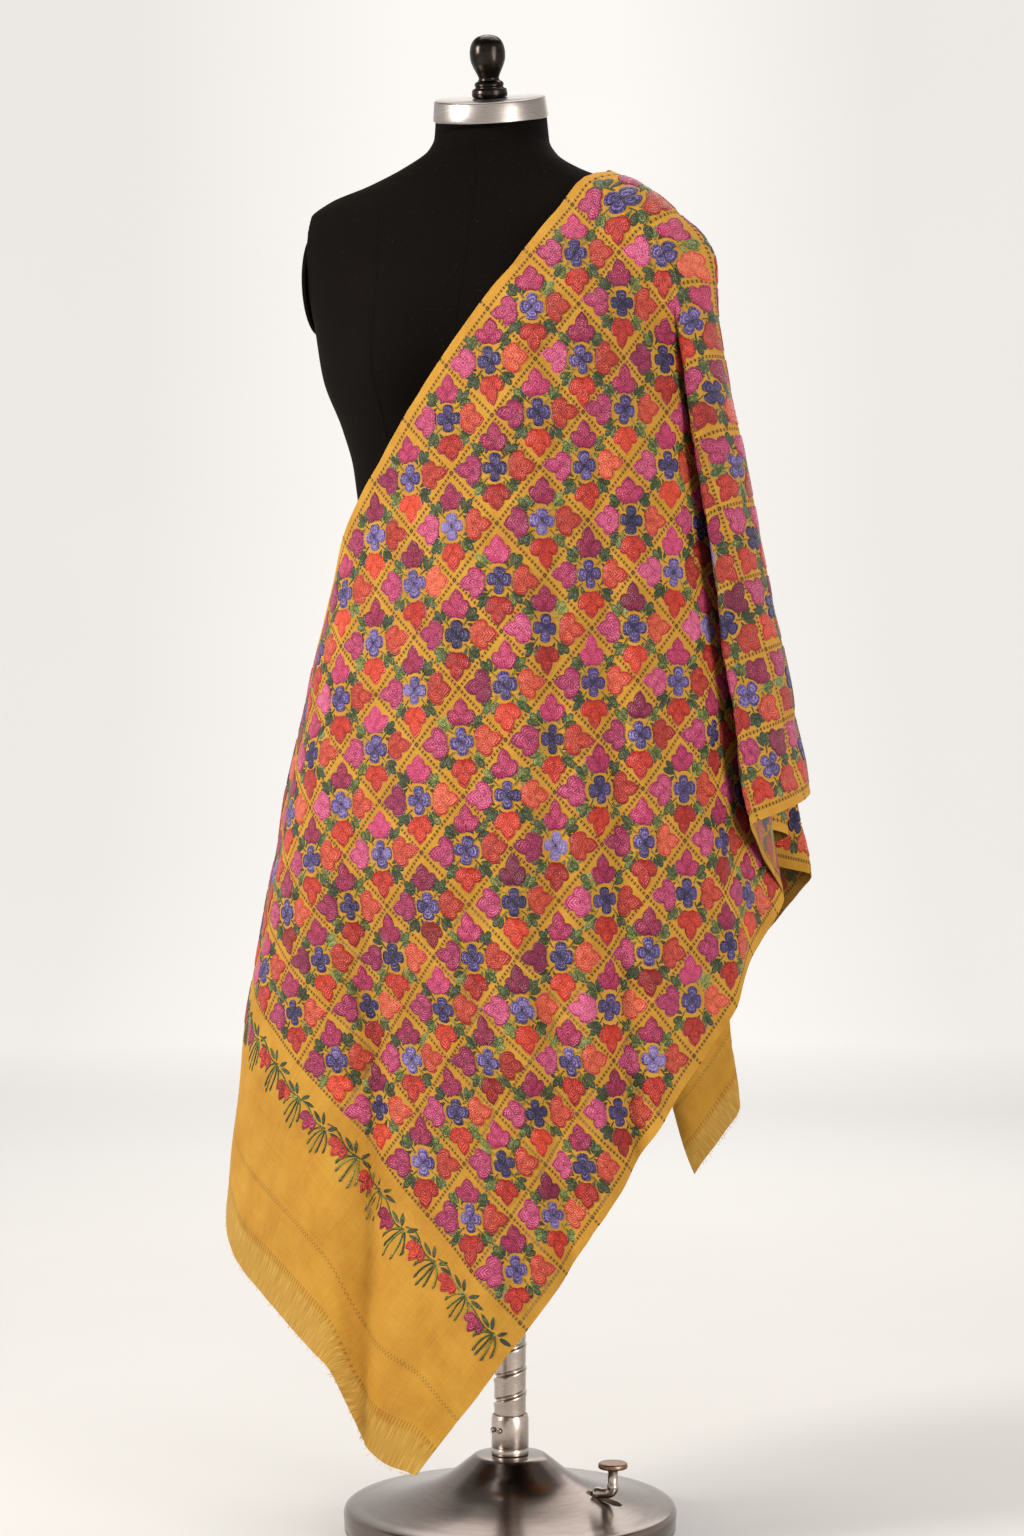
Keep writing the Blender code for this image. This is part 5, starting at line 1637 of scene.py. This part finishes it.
# %% Seams
SEAMS = table("""
seam        bottom  waist   bust    top front z_low z_high
front_mid    0.000  0.000  0.000  0.000     1 0.720  1.440
back_mid     0.000  0.000  0.000  0.000    -1 0.720  1.440
front_right -0.098 -0.080 -0.090 -0.110     1 0.720  1.385
front_left   0.098  0.080  0.090  0.110     1 0.720  1.370
back_right  -0.095 -0.075 -0.090 -0.100    -1 0.720  1.385
back_left    0.095  0.075  0.090  0.100    -1 0.720  1.370
""")
SEAM_LEVELS = np.array([0.72, 1.05, 1.21, 1.39])  # of the four columns that say how far aside
# The two welts and the furrow: aside, and above the skin.
SEAM_ACROSS = ((-0.0016, -0.0003), (-0.0007, 0.00055), (0.0, 0.0001), (0.0007, 0.00055), (0.0016, -0.0003))


def skin_point(u, z, front):
    """Point of the torso's skin, u aside at level z, in front or behind."""
    half, fore, back, shift = torso_size(z)
    deep = np.where(front > 0, fore, back) * (1 - np.clip(np.abs(u) / half, 0, 1) ** ROUND) ** (1 / ROUND)
    share = deep / np.where(front > 0, fore, back)
    w = front * deep + bust(u, z, share * (front > 0)) + shift
    return np.column_stack([u[:, None] * LEFT + w[:, None] * FRONT, z - drop(u, z)])


def seam_strip(k):
    """Points and faces of the seam in row k."""
    z = np.linspace(SEAMS["z_low"][k], SEAMS["z_high"][k], 120)
    u = smooth(z, SEAM_LEVELS, np.array([SEAMS[c][k] for c in ("bottom", "waist", "bust", "top")]))
    front = SEAMS["front"][k]
    line = skin_point(u, z, front)
    beside = skin_point(u + 0.004, z, front)
    across = unit(beside - line)
    down = unit(np.gradient(line, axis=0))
    out = np.cross(across, down)
    out = out * np.sign((out[:, :2] @ FRONT) * front)[:, None]
    points = np.stack([line + across * a + out * h for a, h in SEAM_ACROSS], 1)
    faces = grid_faces(len(z), len(SEAM_ACROSS))
    return points.reshape(-1, 3), faces[:, ::-1] if front > 0 else faces


seams = joined("form_seams", [seam_strip(k) for k in range(len(SEAMS["seam"]))])
tell(seams)

# %% Jersey finish
jersey = Finish("black_jersey", Roughness=0.92, Specular_IOR_Level=0.06)
jersey.skin.inputs["Sheen Tint"].default_value = tint(150, 140, 132)
knit_at = jersey.place()
rib = jersey.noise(jersey.stretch(knit_at, (1500.0, 1500.0, 420.0)), 1.0, 2.0)
lint = jersey.noise(knit_at, 620.0, 2.0)
cloudy = jersey.noise(knit_at, 9.0, 4.0)
jersey_tone = jersey.math("MULTIPLY_ADD", rib, 0.35, jersey.times(cloudy, 0.5))
jersey_base = jersey.ramp(jersey_tone, [(0.30, tint(8, 5, 4)), (0.5, tint(12, 8, 6)), (0.66, tint(20, 14, 11))])
speck = jersey.math("GREATER_THAN", lint, 0.735)
jersey.colour(jersey.mix(jersey.times(speck, 0.22), jersey_base, tint(120, 112, 104)))
jersey.rough(jersey.math("MULTIPLY_ADD", cloudy, 0.15, 0.80))
jersey.bump(rib, 0.0002, 0.7)
jersey.cover(body, seams)
print("jersey on", body.name, seams.name)


# %% [markdown]
# ## Turned parts
# The arm plates, the neck cap, the finial, the foot, the pole's collar and its screws were all turned on a lathe,
# so one helper turns a profile about an axis. Where a part was cut by other tools, the cut is made in the mesh
# afterwards.

# %% Lathe
def turned(name, profile, base=(0, 0, 0), axis=(0, 0, 1), count=96, squash=None, open_ends=False):
    """Lathe shape: profile rows are (radius, height) along the axis; squash narrows it along a direction."""
    axis = unit(np.array(axis, float))
    side = unit(np.cross(axis, (0.0, 1.0, 0.001)))
    other = np.cross(axis, side)
    a = full_turn(count)
    circle = np.cos(a)[:, None] * side + np.sin(a)[:, None] * other
    if squash is not None:
        way, share = squash
        circle = circle - np.outer(circle @ way, way) * (1 - share)
    rings = np.array([np.array(base) + axis * h + r * circle for r, h in profile])
    if open_ends:
        return fast_mesh(name, rings.reshape(-1, 3), grid_faces(len(profile), count, closed=True))
    return tube(name, rings)


def curve_profile(rows, steps):
    """Smooth profile through a table; a row whose name starts with an underscore is an edge."""
    names, r, h = rows["place"], rows["radius"], rows["height"]
    sharp = [0] + [k for k in range(1, len(r) - 1) if names[k][0] == "_"] + [len(r) - 1]
    made = []
    for a, b in zip(sharp, sharp[1:]):
        at = np.concatenate([[0], np.cumsum(np.hypot(np.diff(r[a:b + 1]), np.diff(h[a:b + 1])))])
        fine = at if b - a == 1 else np.linspace(0, at[-1], steps * (b - a) + 1)
        part = [(float(x), float(y)) for x, y in zip(smooth(fine, at, r[a:b + 1]), smooth(fine, at, h[a:b + 1]))]
        made += part if not made else part[1:]
    return made


# %% Arm plates
PLATE_Z, PLATE_HIGH, PLATE_DEEP, PLATE_DOME = 1.314, 0.055, 0.042, 0.012
for name, way in (("arm_plate_right", -1), ("arm_plate_left", 1)):
    out = np.append(LEFT * way, 0.0)
    middle = np.append(out[:2] * (PLATE_AT + GAP) + FRONT * 0.030, PLATE_Z - drop(way * PLATE_AT, PLATE_Z))
    dome = [(PLATE_HIGH * (0.9 + 0.1 * cos(k)) * (cos(k) if k > 0.4 else 1), PLATE_DOME * sin(k))
            for k in np.linspace(0, 1.5, 22)]
    plate = turned(name + "_cover", dome, middle, out, 96, (np.append(FRONT, 0.0), PLATE_DEEP / PLATE_HIGH))
    jersey.cover(plate)
    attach(plate, "root")
    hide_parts(name)
print("arm plate high", 2 * PLATE_HIGH)

# %% [markdown]
# Metal finishes differ in how they were worked. The cap is nickel brushed in rings, the finial is coated in dark
# gunmetal, and the stand is steel ground along the lathe, with faint fingerprints that change the gloss.

# %% Metal finishes
def metal_finish(name, light, dark, rough, grain, spread=0.10, **constants):
    """Metal with lines of the given grain, and gloss that varies by spread around rough."""
    made = Finish(name, Metallic=1.0, Roughness=rough, **constants)
    at = made.place()
    lines = made.noise(made.stretch(at, grain), 1.0, 4.0, 0.7)
    smear = made.noise(at, 28.0, 5.0)
    made.colour(made.ramp(lines, [(0.35, tint(*dark)), (0.65, tint(*light))]))
    value = made.math("MULTIPLY_ADD", smear, spread, rough - spread / 2)
    made.rough(made.math("MULTIPLY_ADD", lines, spread * 0.6, value))
    made.bump(lines, 0.00004, 0.5)
    return made


nickel = metal_finish("brushed_nickel", (162, 154, 149), (134, 126, 121), 0.28, (60.0, 60.0, 2600.0),
                      Anisotropic=0.5)
gunmetal = metal_finish("dark_gunmetal", (52, 46, 42), (34, 30, 28), 0.20, (90.0, 90.0, 90.0), 0.08)
steel = metal_finish("ground_steel", (190, 178, 169), (162, 150, 141), 0.26, (110.0, 110.0, 2200.0), 0.10)
spun_steel = metal_finish("spun_steel", (124, 112, 105), (112, 100, 93), 0.19, (40.0, 40.0, 900.0), 0.05)
worn_tread = metal_finish("aged_tread", (150, 120, 100), (112, 88, 74), 0.36, (300.0, 300.0, 300.0), 0.12)
print("metals", nickel.material.name, worn_tread.material.name)

# %% Neck cap and finial
CAP = table("""
place  radius height
_foot  0.0585 0.0000
_bead  0.0597 0.0010
_low   0.0596 0.0030
_side  0.0577 0.0195
_chamf 0.0570 0.0208
_top   0.0550 0.0215
_inner 0.0240 0.0215
""")
FINIAL = table("""
place   radius height
_foot   0.0165 0.0000
_foot2  0.0180 0.0010
ring    0.0186 0.0045
_ring2  0.0178 0.0085
_groove 0.0150 0.0098
_step   0.0146 0.0108
bead    0.0154 0.0132
_bead2  0.0140 0.0158
neck    0.0114 0.0172
_neck2  0.0106 0.0196
swell   0.0128 0.0246
belly   0.0160 0.0312
full    0.0182 0.0382
round   0.0186 0.0440
top     0.0176 0.0512
near    0.0146 0.0572
crown   0.0096 0.0612
tip     0.0030 0.0630
""")
CAP_HIGH = 0.0215
cap = turned("nickel_cap", curve_profile(CAP, 2), NECK_TOP + NECK_UP * GAP, NECK_UP, 144)
finial = turned("turned_finial", curve_profile(FINIAL, 5), NECK_TOP + NECK_UP * (CAP_HIGH + 2 * GAP), NECK_UP, 96)
nickel.cover(cap)
gunmetal.cover(finial)


def soften(obj, width, segments=2, angle=35.0):
    """Small rounded edges, so that they catch the light, and flat faces kept flat."""
    bevel = obj.modifiers.new("edges", "BEVEL")
    bevel.width, bevel.segments, bevel.limit_method = width, segments, "ANGLE"
    bevel.angle_limit, bevel.harden_normals = radians(angle), False


soften(cap, 0.0004)
tell(finial)

# %% [markdown]
# ## The foot and the pole
# The foot is a heavy spun disc that sweeps up to a small plateau. Light slides along its long curve, so the
# profile is drawn through many points. The pedal's slot is cut with a Boolean, as a milling cutter would.

# %% Foot
FOOT = table("""
place    radius height
foot     0.1700 0.0000
_toe     0.1735 0.0030
_rim     0.1745 0.0210
brow     0.1720 0.0262
skirt    0.1500 0.0300
slope    0.1250 0.0352
dish     0.1000 0.0425
hollow   0.0780 0.0505
climb    0.0600 0.0610
shoulder 0.0460 0.0720
_lip     0.0380 0.0782
plateau  0.0340 0.0790
""")
foot = turned("foot", curve_profile(FOOT, 5), count=192)
spun_steel.cover(foot)
print("foot across", 2 * FOOT["radius"].max())

# %% The pedal's slot
PEDAL_TURN = radians(-21.5)  # bearing of the slot from +X
SLOT_NEAR, SLOT_FAR, SLOT_WIDE, SLOT_FLOOR = 0.086, 0.124, 0.0140, 0.0200
SLOT_STEPS = 25  # points round each of its ends
slot_way = np.array([cos(PEDAL_TURN), sin(PEDAL_TURN), 0.0])
slot_side = np.array([-slot_way[1], slot_way[0], 0.0])
half_wide = SLOT_WIDE / 2
slot_turns = np.linspace(pi / 2, 3 * pi / 2, SLOT_STEPS)
slot_ends = ([(SLOT_NEAR + half_wide, a) for a in slot_turns]
             + [(SLOT_FAR - half_wide, a) for a in slot_turns + pi])
slot_line = np.array([slot_way * (r + half_wide * cos(a)) + slot_side * half_wide * sin(a)
                      for r, a in slot_ends])
count = len(slot_line)
cutter = fast_mesh("slot_cutter", np.concatenate([slot_line + (0, 0, SLOT_FLOOR), slot_line + (0, 0, 0.10)]),
                   smooth=False, **mixed(grid_faces(2, count, closed=True), np.arange(count)[::-1],
                                         count + np.arange(count)))
cut = foot.modifiers.new("slot", "BOOLEAN")
cut.operation, cut.object, cut.solver = "DIFFERENCE", cutter, "EXACT"
apply_all(foot)
bpy.data.objects.remove(cutter)
foot.data.shade_smooth()
tell(foot)

# %% [markdown]
# The pole is wound with a rolled groove for the collar to grip. Rows of points that follow the helix keep the
# groove crisp with few faces: every row is one line of its profile, and the rows are cut off level at the ends.

# %% Pole
POLE_R, POLE_LOW, POLE_HIGH = 0.0170, 0.0794, FORM_LOW
LAND_R = POLE_R - 0.0004  # between the grooves, whose rolled edges stand higher
POLE_TURNS, GROOVE_PITCH = 72, 0.0252
# The groove's profile: share of the pitch, and height over the land.
GROOVE = ((0.00, 0.0), (0.55, 0.0), (0.66, 0.0006), (0.74, 0.0007), (0.775, 0.0001), (0.80, -0.0019),
          (0.86, -0.0022), (0.90, -0.0016), (0.94, -0.0001))
pole_turns = full_turn(POLE_TURNS)
first, last = int(POLE_LOW / GROOVE_PITCH) - 1, int(POLE_HIGH / GROOVE_PITCH) + 2
pole_points = []
for z, deep in [((k + share) * GROOVE_PITCH, deep) for k in range(first, last) for share, deep in GROOVE]:
    flat = np.column_stack([np.cos(pole_turns), np.sin(pole_turns)]) * (LAND_R + deep)
    pole_points.append(np.column_stack([flat, z + GROOVE_PITCH * pole_turns / (2 * pi)]))
# Every row joins the next, and a row's last point joins the first point of the row one turn higher.
pole_faces = []
steps, n = len(GROOVE), POLE_TURNS
for i in range(len(pole_points) - 1):
    pole_faces += [(i * n + j, i * n + j + 1, (i + 1) * n + j + 1, (i + 1) * n + j) for j in range(n - 1)]
    if i + steps + 1 < len(pole_points):
        pole_faces.append((i * n + n - 1, (i + steps) * n, (i + steps + 1) * n, (i + 1) * n + n - 1))


def cut_level(work):
    """Cuts the pole off level at both ends and fills the cuts."""
    for level, up in ((POLE_LOW + 0.0002, -1), (POLE_HIGH - 2 * GAP, 1)):
        geometry = work.verts[:] + work.edges[:] + work.faces[:]
        bmesh.ops.bisect_plane(work, geom=geometry, plane_co=(0, 0, level), plane_no=(0, 0, up), clear_outer=True)
    bmesh.ops.holes_fill(work, edges=[e for e in work.edges if e.is_boundary], sides=0)


pole = fast_mesh("threaded_pole", np.concatenate(pole_points), np.array(pole_faces))
mend(pole, cut_level)
steel.cover(pole)
tell(pole)

# %% Collar
COLLAR_R = 0.0195
COLLAR = table("""
place    radius height
_in_low  0.0174 0.0794
_foot    0.0190 0.0794
_foot2   0.0195 0.0800
_groove  0.0195 0.0855
_deep    0.0189 0.0859
_deep2   0.0189 0.0867
_body    0.0195 0.0871
_body2   0.0195 0.1165
_lip     0.0192 0.1175
_lip2    0.0186 0.1205
_top     0.0181 0.1215
_in_high 0.0174 0.1215
""")
collar_rows = curve_profile(COLLAR, 1)
collar = turned("grip_collar", collar_rows + [collar_rows[0]], count=96, open_ends=True)
mend(collar, lambda work: bmesh.ops.remove_doubles(work, verts=work.verts[:], dist=1e-6))
soften(collar, 0.0002, 1, 25.0)
steel.cover(collar)
tell(collar)

# %% Collar screws
SCREW_Z = 0.1065
SCREW = ((0.0026, 0), (0.0029, 0.0004), (0.0030, 0.0012), (0.0028, 0.0020), (0.0021, 0.0025), (0.0013, 0.0026),
         (0.0011, 0.0018), (0.0002, 0.0016))
screws = []
for name, bearing in (("collar_screw_1", -60), ("collar_screw_2", -34)):
    out = np.array([sin(radians(bearing)), -cos(radians(bearing)), 0.0])
    screw = turned("pan_head_" + name[-1], SCREW, out * (COLLAR_R + GAP) + (0, 0, SCREW_Z), out, 32)
    nickel.cover(screw)
    screws.append((screw, name))
print("screws", len(screws))

# %% [markdown]
# ## The pedal
# A round tread on a stem is pressed to free the pole. The stem turns into a lever that goes through the slot. It
# is one bent rod with a disc on it: rings are laid along the bend and swell into the disc at the top.

# %% Pedal
LEVER_Z, LEVER_R, STEM_AT, STEM_TOP = 0.0480, 0.0052, 0.1145, 0.0740
LEVER_IN = SLOT_NEAR + SLOT_WIDE / 2 + 0.001  # inner end of the lever
BEND_R, PEDAL_TURNS = 0.0065, 48
# Rings of the rod: along the slot from the lever's inner end, above the lever's level, radius.
LEVER = ((0.0, -0.002, 0.0058), (0.0006, -0.002, 0.0064), (0.004, -0.0015, 0.0064), (0.0055, -0.0012, 0.0055),
         (0.008, -0.001, LEVER_R))
# Rings of the upright stem and the tread: from the tread's lower face, radius.
TREAD = ((-0.0035, LEVER_R * 0.98), (-0.0015, LEVER_R * 1.3), (-0.0004, 0.0100), (0, 0.0143), (0.0006, 0.0151),
         (0.0022, 0.0153), (0.0040, 0.0151), (0.0050, 0.0146), (0.0055, 0.0136), (0.0052, 0.0090))
path = [(LEVER_IN + r, LEVER_Z + z, 0, size) for r, z, size in LEVER]
path += [(STEM_AT - BEND_R + BEND_R * sin(a), LEVER_Z - 0.0005 + BEND_R * (1 - cos(a)), degrees(a),
          LEVER_R * (1 + 0.15 * a / 1.57)) for a in np.linspace(0.0, pi / 2, 12)]
path += [(STEM_AT, LEVER_Z + 0.009, 90, LEVER_R * 1.15), (STEM_AT, LEVER_Z + 0.0095, 90, LEVER_R * 1.02)]
path += [(STEM_AT, STEM_TOP + z, 90, size) for z, size in TREAD]
a = full_turn(PEDAL_TURNS)
rings = []
for r, z, lean, size in path:
    along_rod = radians(lean)
    up = -slot_way * sin(along_rod) + np.array([0, 0, cos(along_rod)])
    circle = np.cos(a)[:, None] * slot_side + np.sin(a)[:, None] * up
    rings.append(slot_way * r + np.array([0, 0, z]) + size * circle)
ends = np.arange(PEDAL_TURNS)
pedal = fast_mesh("release_pedal", np.concatenate(rings),
                  **mixed(grid_faces(len(rings), PEDAL_TURNS, closed=True), ends[::-1],
                          (len(rings) - 1) * PEDAL_TURNS + ends))
mend(pedal)
steel.cover(pedal)
worn_tread.cover(pedal)
for face in pedal.data.polygons:
    face.material_index = int(face.center.z > STEM_TOP - 0.001)
tell(pedal)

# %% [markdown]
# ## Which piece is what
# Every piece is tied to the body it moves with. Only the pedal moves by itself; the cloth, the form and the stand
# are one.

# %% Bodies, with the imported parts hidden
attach(stole, "root")
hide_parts("stole_front_fall", "stole_side_folds", "stole_back_fall")
for piece in thread_pieces + [frayed]:
    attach(piece, "root")
for piece, node, finish_slot in ((body, "form_body", "form_jersey"), (cap, "neck_cap", "nickel"),
                                 (finial, "finial", "gunmetal"), (foot, "base", "steel"), (pole, "pole", "steel"),
                                 (collar, "collar", "steel"), *[(s, n, "steel") for s, n in screws]):
    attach(piece, "root")
    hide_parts(node)
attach(seams, "root")
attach(pedal, "pedal")
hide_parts("pedal")
